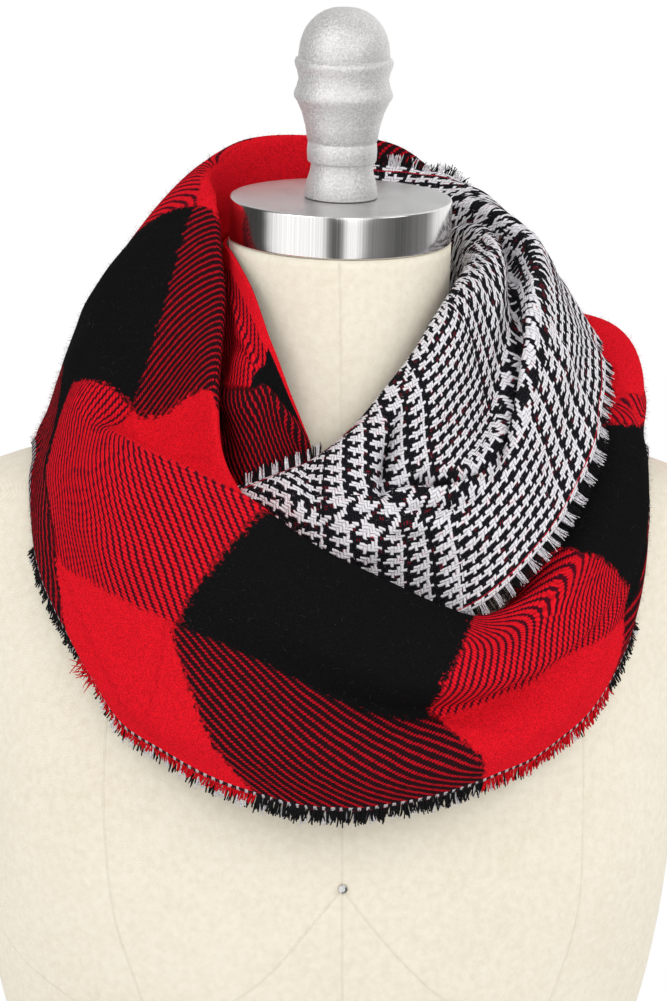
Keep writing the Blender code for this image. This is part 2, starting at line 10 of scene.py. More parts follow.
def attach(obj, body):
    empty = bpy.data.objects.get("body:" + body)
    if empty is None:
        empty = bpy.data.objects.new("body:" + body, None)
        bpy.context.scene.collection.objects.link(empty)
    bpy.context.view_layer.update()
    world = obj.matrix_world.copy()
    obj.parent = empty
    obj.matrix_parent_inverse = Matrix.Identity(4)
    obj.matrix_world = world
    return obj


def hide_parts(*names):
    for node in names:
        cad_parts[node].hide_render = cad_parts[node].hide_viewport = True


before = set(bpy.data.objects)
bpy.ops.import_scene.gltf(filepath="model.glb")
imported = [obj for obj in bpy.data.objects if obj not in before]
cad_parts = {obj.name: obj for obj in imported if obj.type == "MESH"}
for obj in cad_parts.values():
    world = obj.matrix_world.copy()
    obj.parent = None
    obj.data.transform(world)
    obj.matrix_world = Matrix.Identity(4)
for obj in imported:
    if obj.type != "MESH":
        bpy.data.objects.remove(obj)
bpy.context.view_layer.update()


# The dress form: a limbless torso with a flat foot, covered in fine cream linen jersey pulled smooth.
# Its body is turned from rings read along a smooth curve, and the linen's weave is relief in its material.
FORM_RINGS = (
    # z, half width, depth in front, depth behind, squareness
    (0.0000, 0.1720, 0.1080, 0.1180, 2.15),
    (0.0400, 0.1660, 0.1050, 0.1150, 2.15),
    (0.0900, 0.1500, 0.0980, 0.1040, 2.15),
    (0.1400, 0.1340, 0.0920, 0.0900, 2.10),
    (0.1750, 0.1310, 0.0910, 0.0850, 2.10),
    (0.2150, 0.1440, 0.0950, 0.0880, 2.10),
    (0.2570, 0.1620, 0.1020, 0.0930, 2.15),
    (0.3066, 0.1720, 0.1120, 0.1000, 2.20),
    (0.3550, 0.1765, 0.1160, 0.1060, 2.25),
    (0.4000, 0.1770, 0.1110, 0.1100, 2.25),
    (0.4400, 0.1780, 0.1020, 0.1090, 2.25),
    (0.4750, 0.1820, 0.0910, 0.1050, 2.20),
    (0.5050, 0.1870, 0.0790, 0.0970, 2.10),
    (0.5250, 0.1890, 0.0710, 0.0880, 2.00),
    (0.5380, 0.1830, 0.0650, 0.0790, 1.95),
    (0.5460, 0.1640, 0.0610, 0.0720, 1.95),
    (0.5540, 0.1340, 0.0580, 0.0660, 1.95),
    (0.5640, 0.0980, 0.0565, 0.0610, 2.00),
    (0.5780, 0.0660, 0.0555, 0.0575, 2.00),
    (0.5950, 0.0570, 0.0550, 0.0555, 2.00),
    (0.6200, 0.0550, 0.0550, 0.0550, 2.00),
    (0.6586, 0.0550, 0.0550, 0.0550, 2.00),
)
FORM_SIDES = 160
FORM_LEVELS = 150
YARN_WAVES = 7400.0
LINEN_FINISH = {"Roughness": 0.92, "Sheen Weight": 0.15, "Sheen Roughness": 0.6}


def smooth_curve(places, values, at, span=None):
    """Reads values along a smooth curve through the given places. A span closes the curve on itself."""
    x = np.asarray(places, float)
    y = np.asarray(values, float).reshape(len(x), -1)
    at = np.atleast_1d(np.asarray(at, float))
    if span:
        x = np.concatenate([x[-2:] - span, x, x[:3] + span])
        y = np.concatenate([y[-2:], y, y[:3]])
        at = places[0] + (at - places[0]) % span
    steps = np.diff(x)[:, None]
    slope = np.empty_like(y)
    slope[1:-1] = (y[2:] - y[:-2]) / (x[2:] - x[:-2])[:, None]
    slope[0] = (y[1] - y[0]) / steps[0]
    slope[-1] = (y[-1] - y[-2]) / steps[-1]
    i = np.clip(np.searchsorted(x, at, side="right") - 1, 0, len(x) - 2)
    t = ((at - x[i]) / steps[i, 0])[:, None]
    start = (2 * t**3 - 3 * t**2 + 1) * y[i] + (t**3 - 2 * t**2 + t) * steps[i] * slope[i]
    end = (3 * t**2 - 2 * t**3) * y[i + 1] + (t**3 - t**2) * steps[i] * slope[i + 1]
    return start + end


def add_mesh(name, points, faces, materials, indices=None):
    """A smooth-shaded mesh object in the scene."""
    mesh = bpy.data.meshes.new(name)
    mesh.from_pydata([tuple(p) for p in points], [], [tuple(int(k) for k in f) for f in faces])
    for material in materials:
        mesh.materials.append(material)
    if indices is not None:
        mesh.polygons.foreach_set("material_index", np.asarray(indices, np.int32))
    mesh.shade_smooth()
    mesh.update()
    obj = bpy.data.objects.new(name, mesh)
    bpy.context.scene.collection.objects.link(obj)
    return obj


def ring_faces(rings, sides):
    """The faces of a stack of rings, with a cap at each end."""
    faces = []
    for ring in range(rings - 1):
        low = ring * sides
        for k in range(sides):
            after = (k + 1) % sides
            faces.append((low + k, low + after, low + sides + after, low + sides + k))
    faces.append(tuple(reversed(range(sides))))
    faces.append(tuple(range((rings - 1) * sides, rings * sides)))
    return faces


def form_surface_points():
    """Points of the form's cover, ring by ring from its rounded foot up, and the number of rings."""
    z_rows = [row[0] for row in FORM_RINGS]
    low_edge = (0.0, 0.0012, 0.0035, 0.0070)
    levels = list(low_edge) + list(np.linspace(0.011, FORM_RINGS[-1][0], FORM_LEVELS))
    drawn_in = [0.0035, 0.0014, 0.0004, 0.0] + [0.0] * FORM_LEVELS
    found = smooth_curve(z_rows, [row[1:] for row in FORM_RINGS], levels)
    turn = 2 * np.pi * np.arange(FORM_SIDES) / FORM_SIDES
    c, s = np.cos(turn), np.sin(turn)
    points = []
    for z, inset, (half, front, behind, square) in zip(levels, drawn_in, found):
        x = (half - inset) * np.sign(c) * np.abs(c) ** (2 / square)
        depth = np.where(s > 0, behind, front) - inset
        y = depth * np.sign(s) * np.abs(s) ** (2 / square)
        points += [(a, b, z) for a, b in zip(x, y)]
    return points, len(levels)


def tree_tools(tree):
    """Short ways to add a node, to add a maths node and to join two sockets in a node tree."""

    def add(kind, ins=(), **settings):
        node = tree.nodes.new(kind)
        for key, value in settings.items():
            setattr(node, key, value)
        for socket, value in dict(ins).items():
            if isinstance(value, bpy.types.NodeSocket):
                tree.links.new(value, node.inputs[socket])
            else:
                node.inputs[socket].default_value = value
        return node

    def maths(operation, a, b=None, c=None):
        ins = {k: v for k, v in enumerate((a, b, c)) if v is not None}
        return add("ShaderNodeMath", ins, operation=operation).outputs[0]

    def join(output, target):
        tree.links.new(output, target)

    return add, maths, join


def new_material(name, plain):
    """A material with plain values on its shader, and short ways to add and join nodes in it."""
    material = bpy.data.materials.new(name)
    material.use_nodes = True
    shader = material.node_tree.nodes["Principled BSDF"]
    for socket, value in plain.items():
        shader.inputs[socket].default_value = value
    return material, shader, *tree_tools(material.node_tree)


def new_group(name, inputs, outputs):
    """An empty shader node group with the given sockets, and short ways to add nodes in it."""
    group = bpy.data.node_groups.new(name, "ShaderNodeTree")
    kinds = {"colour": "NodeSocketColor", "number": "NodeSocketFloat", "vector": "NodeSocketVector"}
    for label, kind, value in inputs:
        socket = group.interface.new_socket(name=label, in_out="INPUT", socket_type=kinds[kind])
        if value is not None:
            socket.default_value = value
    for label, kind in outputs:
        group.interface.new_socket(name=label, in_out="OUTPUT", socket_type=kinds[kind])
    given = group.nodes.new("NodeGroupInput").outputs
    result = group.nodes.new("NodeGroupOutput").inputs
    return group, given, result, *tree_tools(group)


def own_place(add):
    """The object's own coordinates."""
    return add("ShaderNodeTexCoord").outputs["Object"]


def noise(add, place, scale, detail, output="Fac", **more):
    """A noise texture read at a place."""
    ins = {"Vector": place, "Scale": scale, "Detail": detail}
    ins.update((key.capitalize(), value) for key, value in more.items())
    return add("ShaderNodeTexNoise", ins).outputs[output]


def steps_between(add, value, low, high, from_value=0.0, to_value=1.0):
    """A smooth step from one value to another as the input goes from low to high."""
    ins = {"Value": value, "From Min": low, "From Max": high, "To Min": from_value, "To Max": to_value}
    return add("ShaderNodeMapRange", ins, interpolation_type="SMOOTHSTEP").outputs["Result"]


def mixed(add, factor, a, b):
    """One colour blended into another by a factor."""
    return add("ShaderNodeMix", {0: factor, 6: a, 7: b}, data_type="RGBA").outputs[2]


def chosen(add, factor, a, b):
    """One number blended into another by a factor."""
    return add("ShaderNodeMix", {0: factor, 2: a, 3: b}).outputs[0]


def tinted(add, colour, factors):
    """A colour with each of its channels multiplied."""
    return add("ShaderNodeVectorMath", {0: colour, 1: factors}, operation="MULTIPLY").outputs[0]


def weighted(maths, *parts):
    """A sum of values, each times its weight."""
    products = [maths("MULTIPLY", value, weight) for value, weight in parts]
    total = products[0]
    for product in products[1:]:
        total = maths("ADD", total, product)
    return total


def pressed(add, join, shader, height, strength, distance):
    """Relief on a material, from a height that changes over its surface."""
    bump = add("ShaderNodeBump", {"Height": height, "Strength": strength, "Distance": distance})
    join(bump.outputs[0], shader.inputs["Normal"])


def woven(name, weave_tree, layers, colours, relief, plain):
    """Cloth of one weave. UV layers and colours go on the weave's sockets, plain values on the shader's."""
    material, shader, add, _, join = new_material(name, plain)
    places = {socket: add("ShaderNodeUVMap", uv_map=layer).outputs[0] for socket, layer in layers.items()}
    weave = add("ShaderNodeGroup", places, node_tree=weave_tree)
    for socket, colour in colours.items():
        weave.inputs[socket].default_value = (*colour, 1)
    join(weave.outputs["Colour"], shader.inputs["Base Color"])
    pressed(add, join, shader, weave.outputs["Height"], *relief)
    return material


def linen_weave():
    """Fine plain weave with slubs: a colour and a height from the object's own coordinates."""
    group, given, result, add, maths, join = new_group(
        "linen_weave",
        (("Light", "colour", (0.83, 0.76, 0.62, 1)), ("Shade", "colour", (0.70, 0.63, 0.50, 1))),
        (("Colour", "colour"), ("Height", "number")),
    )
    place = own_place(add)
    split = add("ShaderNodeSeparateXYZ", {0: place}).outputs
    around = maths("ADD", split["X"], maths("MULTIPLY", split["Y"], 0.9))
    wobble = maths("MULTIPLY", noise(add, place, 90.0, 2.0), 6.0)
    rows = maths("SINE", maths("MULTIPLY_ADD", split["Z"], YARN_WAVES, wobble))
    posts = maths("SINE", maths("MULTIPLY_ADD", around, YARN_WAVES, wobble))
    cells = maths("MULTIPLY", maths("ADD", maths("MULTIPLY", rows, posts), 1.0), 0.5)
    slubs = noise(add, place, 260.0, 3.0)
    fuzz, cloud = noise(add, place, 1500.0, 3.0), noise(add, place, 14.0, 4.0)
    shade = weighted(maths, (cells, 0.30), (fuzz, 0.45), (slubs, 0.55), (cloud, 0.25))
    join(mixed(add, steps_between(add, shade, 0.55, 1.05), given["Light"], given["Shade"]), result["Colour"])
    join(weighted(maths, (cells, 0.6), (slubs, 0.8)), result["Height"])
    return group


weave_of_linen = linen_weave()


def linen_material(name, light, shade):
    return woven(name, weave_of_linen, {}, {"Light": light, "Shade": shade}, (0.35, 0.0004), LINEN_FINISH)


linen = linen_material("cream_linen", (0.86, 0.80, 0.67), (0.74, 0.67, 0.53))
points, levels = form_surface_points()
form_cover = add_mesh("form_cover", points, ring_faces(levels, FORM_SIDES), [linen])
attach(form_cover, "root")
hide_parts("dress_form")


def surface_tree(obj):
    """A mesh object's surface, to find the nearest point on or to shoot rays at."""
    points = [tuple(v.co) for v in obj.data.vertices]
    return BVHTree.FromPolygons(points, [tuple(face.vertices) for face in obj.data.polygons])


form_tree = surface_tree(form_cover)


# The form's seams: the jersey's panels meet in narrow pressed seams, each two low welts with a dark groove
# between them. Each is drawn on the cover from a list of points seen from the front or the back.
SEAMS_IN_FRONT = {
    # x and z, from top to bottom
    "centre": ((-0.0040, 0.6575), (-0.0023, 0.6100), (-0.0016, 0.5753), (-0.0012, 0.4900), (-0.0009, 0.3948),
               (-0.0003, 0.3613), (0.0006, 0.3288), (0.0014, 0.3016), (0.0014, 0.1500), (0.0010, 0.0020)),
    "left_bust": ((-0.0003, 0.3613), (-0.0173, 0.3387), (-0.0332, 0.3171), (-0.0522, 0.2996),
                  (-0.0800, 0.2860), (-0.1020, 0.2790)),
    "right_bust": ((-0.0003, 0.3613), (0.0185, 0.3364), (0.0333, 0.3189), (0.0537, 0.2989),
                   (0.0810, 0.2850), (0.1040, 0.2780)),
    "left_side_front": ((-0.1085, 0.5100), (-0.1150, 0.4300), (-0.1154, 0.3876), (-0.1096, 0.3384),
                        (-0.0959, 0.2946), (-0.0800, 0.2200), (-0.0780, 0.1600), (-0.0950, 0.0700),
                        (-0.1040, 0.0020)),
    "right_side_front": ((0.1120, 0.5100), (0.1190, 0.4300), (0.1201, 0.3864), (0.1184, 0.3357),
                         (0.1068, 0.2915), (0.0830, 0.2200), (0.0790, 0.1600), (0.0950, 0.0700),
                         (0.1040, 0.0020)),
    "left_dart": ((-0.1650, 0.3120), (-0.1535, 0.3013), (-0.1276, 0.2873), (-0.1130, 0.2800)),
}
SEAMS_BEHIND = {
    "centre_back": ((0.0, 0.6575), (0.0, 0.5700), (0.0, 0.4000), (0.0, 0.2500), (0.0, 0.1500), (0.0, 0.0020)),
    "left_back": ((-0.0900, 0.5350), (-0.0950, 0.4000), (-0.0860, 0.2600), (-0.0700, 0.1700),
                  (-0.0900, 0.0020)),
    "right_back": ((0.0900, 0.5350), (0.0950, 0.4000), (0.0860, 0.2600), (0.0700, 0.1700),
                   (0.0900, 0.0020)),
}
SEAM_PROFILE = ((-0.0009, -0.0003), (-0.0005, 0.0002), (0.0, -0.00005), (0.0005, 0.0002), (0.0009, -0.0003))


def seam_line(route, side):
    """Points and normals on the cover under a route drawn on its front (side -1) or its back (side 1)."""
    marks = [0.0]
    for a, b in zip(route, route[1:]):
        marks.append(marks[-1] + math.dist(a, b))
    count = max(int(marks[-1] / 0.004), 8)
    line = smooth_curve(marks, route, np.linspace(0, marks[-1], count))
    found = []
    for x, z in line:
        spot, square, _, _ = form_tree.ray_cast(Vector((x, side, z)), Vector((0, -side, 0)))
        if spot is not None:
            found.append((spot, square))
    return found


def add_seams(routes, side, points, faces):
    """Lays the seam's profile along each route and adds its points and faces to the lists."""
    for route in routes.values():
        line = seam_line(route, side)
        count = len(SEAM_PROFILE)
        first = len(points)
        for i, (spot, square) in enumerate(line):
            along = (line[min(i + 1, len(line) - 1)][0] - line[max(i - 1, 0)][0]).normalized()
            across = square.cross(along).normalized()
            points += [spot + across * a + square * h for a, h in SEAM_PROFILE]
        for i in range(len(line) - 1):
            for k in range(count - 1):
                here = first + i * count + k
                faces.append((here, here + 1, here + count + 1, here + count))


seam_linen = linen_material("seam_linen", (0.82, 0.76, 0.63), (0.72, 0.65, 0.52))
points, faces = [], []
add_seams(SEAMS_IN_FRONT, -1, points, faces)
add_seams(SEAMS_BEHIND, 1, points, faces)
form_seams = add_mesh("form_seams", points, faces, [seam_linen])
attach(form_seams, "root")


# The neck cap: a thick turned steel plate that closes the neck. Its top is brushed in fine turning lines,
# and its rim is polished between two small bevels, with faint upright streaks in its tone, partly brushed and
# partly painted reflection.
CAP_RADIUS = 0.0550
CAP_BOTTOM = 0.6590
CAP_TOP = 0.6800
CAP_SIDES = 192


def turned(name, profile, sides, materials, bands=None):
    """A body turned from (radius, z) pairs, bottom to top, with a flat end at each pole."""
    turn = 2 * np.pi * np.arange(sides) / sides
    points = [(r * math.cos(a), r * math.sin(a), z) for r, z in profile for a in turn]
    faces = ring_faces(len(profile), sides)
    indices = None
    if bands:
        indices = [band for band in bands for _ in range(sides)] + [bands[0], bands[-1]]
    obj = add_mesh(name, points, faces, materials, indices)
    obj.data.set_sharp_from_angle(angle=math.radians(50))
    return obj


def brushed_top():
    material, shader, add, _, join = new_material("brushed_cap_top", {"Metallic": 1.0})
    place = own_place(add)
    ins = {"Vector": place, "Scale": 420.0, "Distortion": 6.0, "Detail": 2.0, "Detail Scale": 0.6}
    rings = add("ShaderNodeTexWave", ins, wave_type="RINGS", rings_direction="Z").outputs["Fac"]
    tone = mixed(add, noise(add, place, 55.0, 6.0), (0.50, 0.50, 0.50, 1), (0.82, 0.81, 0.80, 1))
    join(tone, shader.inputs["Base Color"])
    rough = add("ShaderNodeMapRange", {"Value": rings, "To Min": 0.24, "To Max": 0.36})
    join(rough.outputs["Result"], shader.inputs["Roughness"])
    pressed(add, join, shader, rings, 0.12, 0.0002)
    return material


def polished_rim():
    material, shader, add, maths, join = new_material("polished_cap_rim", {"Metallic": 1.0})
    split = add("ShaderNodeSeparateXYZ", {0: own_place(add)}).outputs
    around = add("ShaderNodeCombineXYZ", {"X": maths("ARCTAN2", split["Y"], split["X"])}).outputs[0]
    fine = noise(add, around, 60.0, 4.0)
    # Painted reflection: the light and dark streaks of tone round the rim stand partly for the studio's
    # bright and dark bands, on top of a brushed finish.
    streaks_and_reflection_bands = steps_between(add, fine, 0.3, 0.7)
    join(mixed(add, streaks_and_reflection_bands, (0.66, 0.645, 0.63, 1), (0.86, 0.85, 0.84, 1)), shader.inputs["Base Color"])
    rough = add("ShaderNodeMapRange", {"Value": fine, "To Min": 0.11, "To Max": 0.22})
    join(rough.outputs["Result"], shader.inputs["Roughness"])
    return material


LOW_BEVEL, HIGH_BEVEL = 0.0012, 0.0009
cap_profile = []
for step in range(5):
    lean = math.radians(22.5 * step)
    out, up = LOW_BEVEL * (math.sin(lean) - 1), LOW_BEVEL * (1 - math.cos(lean))
    cap_profile.append((CAP_RADIUS + out, CAP_BOTTOM + up))
for share in (0.25, 0.5, 0.75):
    cap_profile.append((CAP_RADIUS, CAP_BOTTOM + (CAP_TOP - CAP_BOTTOM) * share))
for step in range(5):
    lean = math.radians(22.5 * step)
    out, up = HIGH_BEVEL * (math.cos(lean) - 1), HIGH_BEVEL * (math.sin(lean) - 1)
    cap_profile.append((CAP_RADIUS + out, CAP_TOP + up))
for radius in (0.052, 0.040, 0.025, 0.012, 0.002):
    cap_profile.append((radius, CAP_TOP))
cap_bands = [1] * 12 + [0] * (len(cap_profile) - 13)
neck_plate = turned("neck_plate", cap_profile, CAP_SIDES, [brushed_top(), polished_rim()], cap_bands)
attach(neck_plate, "root")
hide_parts("neck_cap")


# The finial: a hollow-cast aluminium knob, turned smooth in three stages and finished with a fine sanded
# grain. It screws down on the cap. A dark groove parts its dome from its upper bead, and another its foot.
FINIAL_PROFILE = (
    # height above the cap, diameter
    (0.0000, 0.0355), (0.0008, 0.0363), (0.0074, 0.0344), (0.0120, 0.0316), (0.0158, 0.0303),
    (0.0170, 0.0308), (0.0176, 0.0334), (0.0182, 0.0340), (0.0226, 0.0346), (0.0268, 0.0340),
    (0.0274, 0.0330), (0.0280, 0.0344), (0.0350, 0.0368), (0.0420, 0.0408), (0.0472, 0.0455),
    (0.0490, 0.0482), (0.0506, 0.0487), (0.0522, 0.0480), (0.0540, 0.0464), (0.0583, 0.0443),
    (0.0625, 0.0462), (0.0646, 0.0479), (0.0664, 0.0487), (0.0680, 0.0476), (0.0686, 0.0452),
    (0.0690, 0.0447), (0.0696, 0.0452), (0.0760, 0.0436), (0.0800, 0.0412), (0.0830, 0.0384),
    (0.0862, 0.0338), (0.0890, 0.0282), (0.0912, 0.0215), (0.0926, 0.0140), (0.0932, 0.0050),
)
FINIAL_SIDES = 96


def cast_metal():
    material, shader, add, maths, join = new_material("sanded_cast_aluminium", {"Metallic": 0.55})
    place = own_place(add)
    grain = noise(add, place, 1100.0, 4.0, roughness=0.7)
    pits = add("ShaderNodeTexVoronoi", {"Vector": place, "Scale": 620.0}).outputs["Distance"]
    cloud = steps_between(add, noise(add, place, 40.0, 3.0), 0.3, 0.7, 0.0, 0.35)
    tone = mixed(add, steps_between(add, grain, 0.35, 0.68), (0.54, 0.53, 0.52, 1), (0.83, 0.82, 0.81, 1))
    join(mixed(add, cloud, tone, (0.70, 0.70, 0.70, 1)), shader.inputs["Base Color"])
    join(steps_between(add, grain, 0.3, 0.7, 0.38, 0.62), shader.inputs["Roughness"])
    pressed(add, join, shader, maths("ADD", grain, pits), 0.45, 0.0004)
    return material


FINIAL_FOOT = CAP_TOP + 0.0004
finial_profile = [(diameter / 2, FINIAL_FOOT + height) for height, diameter in FINIAL_PROFILE]
finial_knob = turned("finial_knob", finial_profile, FINIAL_SIDES, [cast_metal()])
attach(finial_knob, "root")
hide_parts("finial")


# The front stud: a small bright pin at the top of the bust seams, nickel-plated and pressed into the form. It
# keeps its solid from the CAD part and is only given its metal here.
stud_metal, shader, add, _, join = new_material("nickel_pin", {"Metallic": 1.0})
wear = noise(add, own_place(add), 900.0, 2.0)
join(mixed(add, wear, (0.45, 0.45, 0.46, 1), (0.85, 0.84, 0.82, 1)), shader.inputs["Base Color"])
join(steps_between(add, wear, 0.3, 0.7, 0.18, 0.32), shader.inputs["Roughness"])
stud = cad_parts["front_stud"]
stud.data.materials.clear()
stud.data.materials.append(stud_metal)


# The outer lap: the scarf's wide stretch of reversible double cloth, a soft napped acrylic twill with buffalo
# check outside and glen plaid inside. It is wound loosely round the shoulders and rests on the form. The
# sections below are the cloth's middle, read round the neck; its folds are pressed in unevenly.
OUTER_WRAP = (
    # azimuth, then r and z of: hem, low roll, valley, belly,
    # ridge, dip, rim, tuck
    (-180, 0.122, 0.492, 0.137, 0.515, 0.131, 0.547, 0.139, 0.582,
     0.128, 0.624, 0.112, 0.657, 0.092, 0.694, 0.084, 0.654),
    (-155, 0.135, 0.490, 0.149, 0.512, 0.143, 0.544, 0.149, 0.580,
     0.138, 0.622, 0.118, 0.657, 0.090, 0.695, 0.080, 0.655),
    (-130, 0.150, 0.502, 0.160, 0.522, 0.158, 0.550, 0.153, 0.578,
     0.140, 0.616, 0.117, 0.652, 0.079, 0.689, 0.071, 0.650),
    (-108, 0.154, 0.534, 0.1545, 0.546, 0.149, 0.560, 0.143, 0.579,
     0.134, 0.605, 0.114, 0.643, 0.070, 0.686, 0.066, 0.648),
    (-92, 0.151, 0.5530, 0.1455, 0.560, 0.142, 0.569, 0.138, 0.583,
     0.130, 0.607, 0.110, 0.642, 0.0645, 0.682, 0.0655, 0.645),
    (-82, 0.1520, 0.5515, 0.147, 0.557, 0.145, 0.566, 0.141, 0.579,
     0.132, 0.601, 0.110, 0.632, 0.065, 0.678, 0.066, 0.640),
    (-76, 0.1570, 0.5415, 0.154, 0.548, 0.151, 0.558, 0.146, 0.570,
     0.135, 0.592, 0.110, 0.620, 0.065, 0.673, 0.066, 0.634),
    (-70, 0.1585, 0.511, 0.159, 0.525, 0.156, 0.540, 0.152, 0.558,
     0.139, 0.586, 0.110, 0.606, 0.066, 0.660, 0.068, 0.620),
    (-60, 0.158, 0.488, 0.163, 0.510, 0.160, 0.530, 0.158, 0.550,
     0.141, 0.580, 0.113, 0.576, 0.069, 0.638, 0.072, 0.602),
    (-52, 0.153, 0.459, 0.162, 0.486, 0.160, 0.519, 0.160, 0.545,
     0.140, 0.578, 0.114, 0.568, 0.078, 0.615, 0.080, 0.582),
    (-45, 0.1495, 0.4395, 0.160, 0.470, 0.159, 0.507, 0.159, 0.536,
     0.137, 0.574, 0.115, 0.563, 0.089, 0.597, 0.092, 0.565),
    (-33, 0.146, 0.428, 0.157, 0.452, 0.154, 0.494, 0.154, 0.526,
     0.130, 0.564, 0.118, 0.558, 0.109, 0.566, 0.105, 0.537),
    (-22, 0.142, 0.418, 0.153, 0.443, 0.150, 0.484, 0.152, 0.515,
     0.127, 0.553, 0.117, 0.548, 0.110, 0.540, 0.106, 0.510),
    (-8, 0.137, 0.409, 0.149, 0.436, 0.142, 0.470, 0.152, 0.497,
     0.126, 0.534, 0.116, 0.528, 0.110, 0.516, 0.106, 0.490),
    (8, 0.137, 0.410, 0.149, 0.432, 0.139, 0.458, 0.154, 0.480,
     0.127, 0.517, 0.116, 0.511, 0.110, 0.500, 0.107, 0.478),
    (20, 0.140, 0.416, 0.151, 0.435, 0.140, 0.457, 0.156, 0.476,
     0.129, 0.504, 0.117, 0.498, 0.111, 0.488, 0.108, 0.468),
    (30, 0.142, 0.421, 0.153, 0.441, 0.143, 0.462, 0.158, 0.479,
     0.132, 0.497, 0.122, 0.494, 0.116, 0.487, 0.112, 0.470),
    (40, 0.145, 0.427, 0.155, 0.448, 0.148, 0.470, 0.159, 0.488,
     0.142, 0.507, 0.127, 0.502, 0.119, 0.492, 0.115, 0.478),
    (52, 0.150, 0.442, 0.158, 0.464, 0.157, 0.486, 0.160, 0.507,
     0.150, 0.531, 0.134, 0.539, 0.121, 0.530, 0.116, 0.512),
    (65, 0.157, 0.474, 0.161, 0.494, 0.1615, 0.515, 0.162, 0.536,
     0.154, 0.562, 0.138, 0.573, 0.121, 0.568, 0.114, 0.552),
    (73, 0.158, 0.512, 0.159, 0.526, 0.158, 0.542, 0.157, 0.558,
     0.148, 0.578, 0.134, 0.583, 0.117, 0.578, 0.108, 0.562),
    (81, 0.156, 0.5505, 0.151, 0.558, 0.153, 0.566, 0.151, 0.575,
     0.143, 0.584, 0.130, 0.585, 0.115, 0.579, 0.104, 0.568),
    (97, 0.158, 0.5505, 0.153, 0.558, 0.158, 0.567, 0.160, 0.580,
     0.152, 0.598, 0.133, 0.601, 0.113, 0.592, 0.101, 0.576),
    (108, 0.157, 0.541, 0.160, 0.552, 0.163, 0.564, 0.165, 0.581,
     0.156, 0.603, 0.135, 0.611, 0.112, 0.605, 0.100, 0.586),
    (118, 0.153, 0.528, 0.162, 0.544, 0.163, 0.560, 0.163, 0.579,
     0.152, 0.601, 0.132, 0.614, 0.111, 0.614, 0.099, 0.594),
    (132, 0.145, 0.508, 0.158, 0.528, 0.158, 0.552, 0.156, 0.580,
     0.144, 0.612, 0.124, 0.637, 0.107, 0.648, 0.097, 0.620),
    (155, 0.130, 0.494, 0.145, 0.517, 0.138, 0.547, 0.147, 0.582,
     0.134, 0.622, 0.114, 0.656, 0.095, 0.688, 0.087, 0.648),
)
OUTER_FOLDS = (
    # azimuth and place across where it starts and where it ends, half width, height
    (-62, 0.4, -24, 0.9, 0.010, 0.0025),
    (-74, 2.8, -48, 3.6, 0.011, 0.0020),
    (36, 3.2, 62, 3.8, 0.010, 0.0025),
    (48, 1.0, 70, 1.9, 0.010, -0.0025),
    (102, 2.0, 140, 2.9, 0.012, -0.0035),
    (112, 3.6, 150, 4.2, 0.012, 0.0035),
    (162, 3.4, 196, 4.1, 0.013, -0.0030),
    (200, 2.4, 240, 3.4, 0.012, 0.0035),
    (214, 4.4, 250, 4.9, 0.011, -0.0030),
    (-4, 2.0, 34, 1.9, 0.0050, -0.0030),
    (24, 2.4, 52, 2.9, 0.0060, 0.0014),
    (30, 2.0, 60, 2.4, 0.0050, -0.0016),
    (-30, 1.5, 6, 1.2, 0.0070, 0.0013),
    (-52, 1.6, -30, 1.2, 0.0060, -0.0012),
    (-58, 3.0, -34, 3.3, 0.0080, -0.0012),
    (-46, 3.9, -20, 4.3, 0.0045, 0.0012),
    (-76, 4.6, -58, 5.2, 0.0060, -0.0022),
    (-72, 5.4, -48, 5.8, 0.0050, 0.0014),
    (-62, 4.6, -46, 5.6, 0.0055, -0.0016),
    (-98, 3.8, -78, 4.8, 0.0080, -0.0014),
    (84, 2.6, 112, 3.6, 0.0060, -0.0018),
    (62, 3.6, 80, 4.6, 0.0055, -0.0015),
    (140, 1.2, 176, 1.8, 0.0075, -0.0020),
    (176, 5.0, 214, 5.6, 0.0070, -0.0018),
    (190, 1.4, 222, 0.8, 0.0080, 0.0018),
    (228, 3.8, 262, 4.4, 0.0070, 0.0016),
)
LAP_STATIONS = 480
LAP_STEPS = 12
HALF_CLOTH = 0.0009
ROOM_BETWEEN = 0.0004


def cloth_middle(table, azimuths, steps, closed=False):
    """The cloth's middle surface: a section for each azimuth, with so many steps between places."""
    rows = [row[0] for row in table]
    found = smooth_curve(rows, [row[1:] for row in table], azimuths, 360 if closed else None)
    corners = found.reshape(len(azimuths), -1, 2)
    count = corners.shape[1]
    share = np.arange((count - 1) * steps + 1) / steps
    middle = []
    for azimuth, corner in zip(azimuths, corners):
        marks = np.concatenate([[0.0], np.cumsum(np.linalg.norm(np.diff(corner, axis=0), axis=1))])
        line = smooth_curve(marks, corner, np.interp(share, np.arange(count), marks))
        turn = math.radians(azimuth)
        middle.append(np.stack([line[:, 0] * math.sin(turn), -line[:, 0] * math.cos(turn), line[:, 1]], 1))
    return np.array(middle)


def cloth_normals(middle, closed):
    """The cloth's normal at each of its points."""
    if closed:
        along = np.roll(middle, -1, 0) - np.roll(middle, 1, 0)
    else:
        along = np.gradient(middle, axis=0)
    square = np.cross(along, np.gradient(middle, axis=1))
    return square / np.linalg.norm(square, axis=2, keepdims=True)


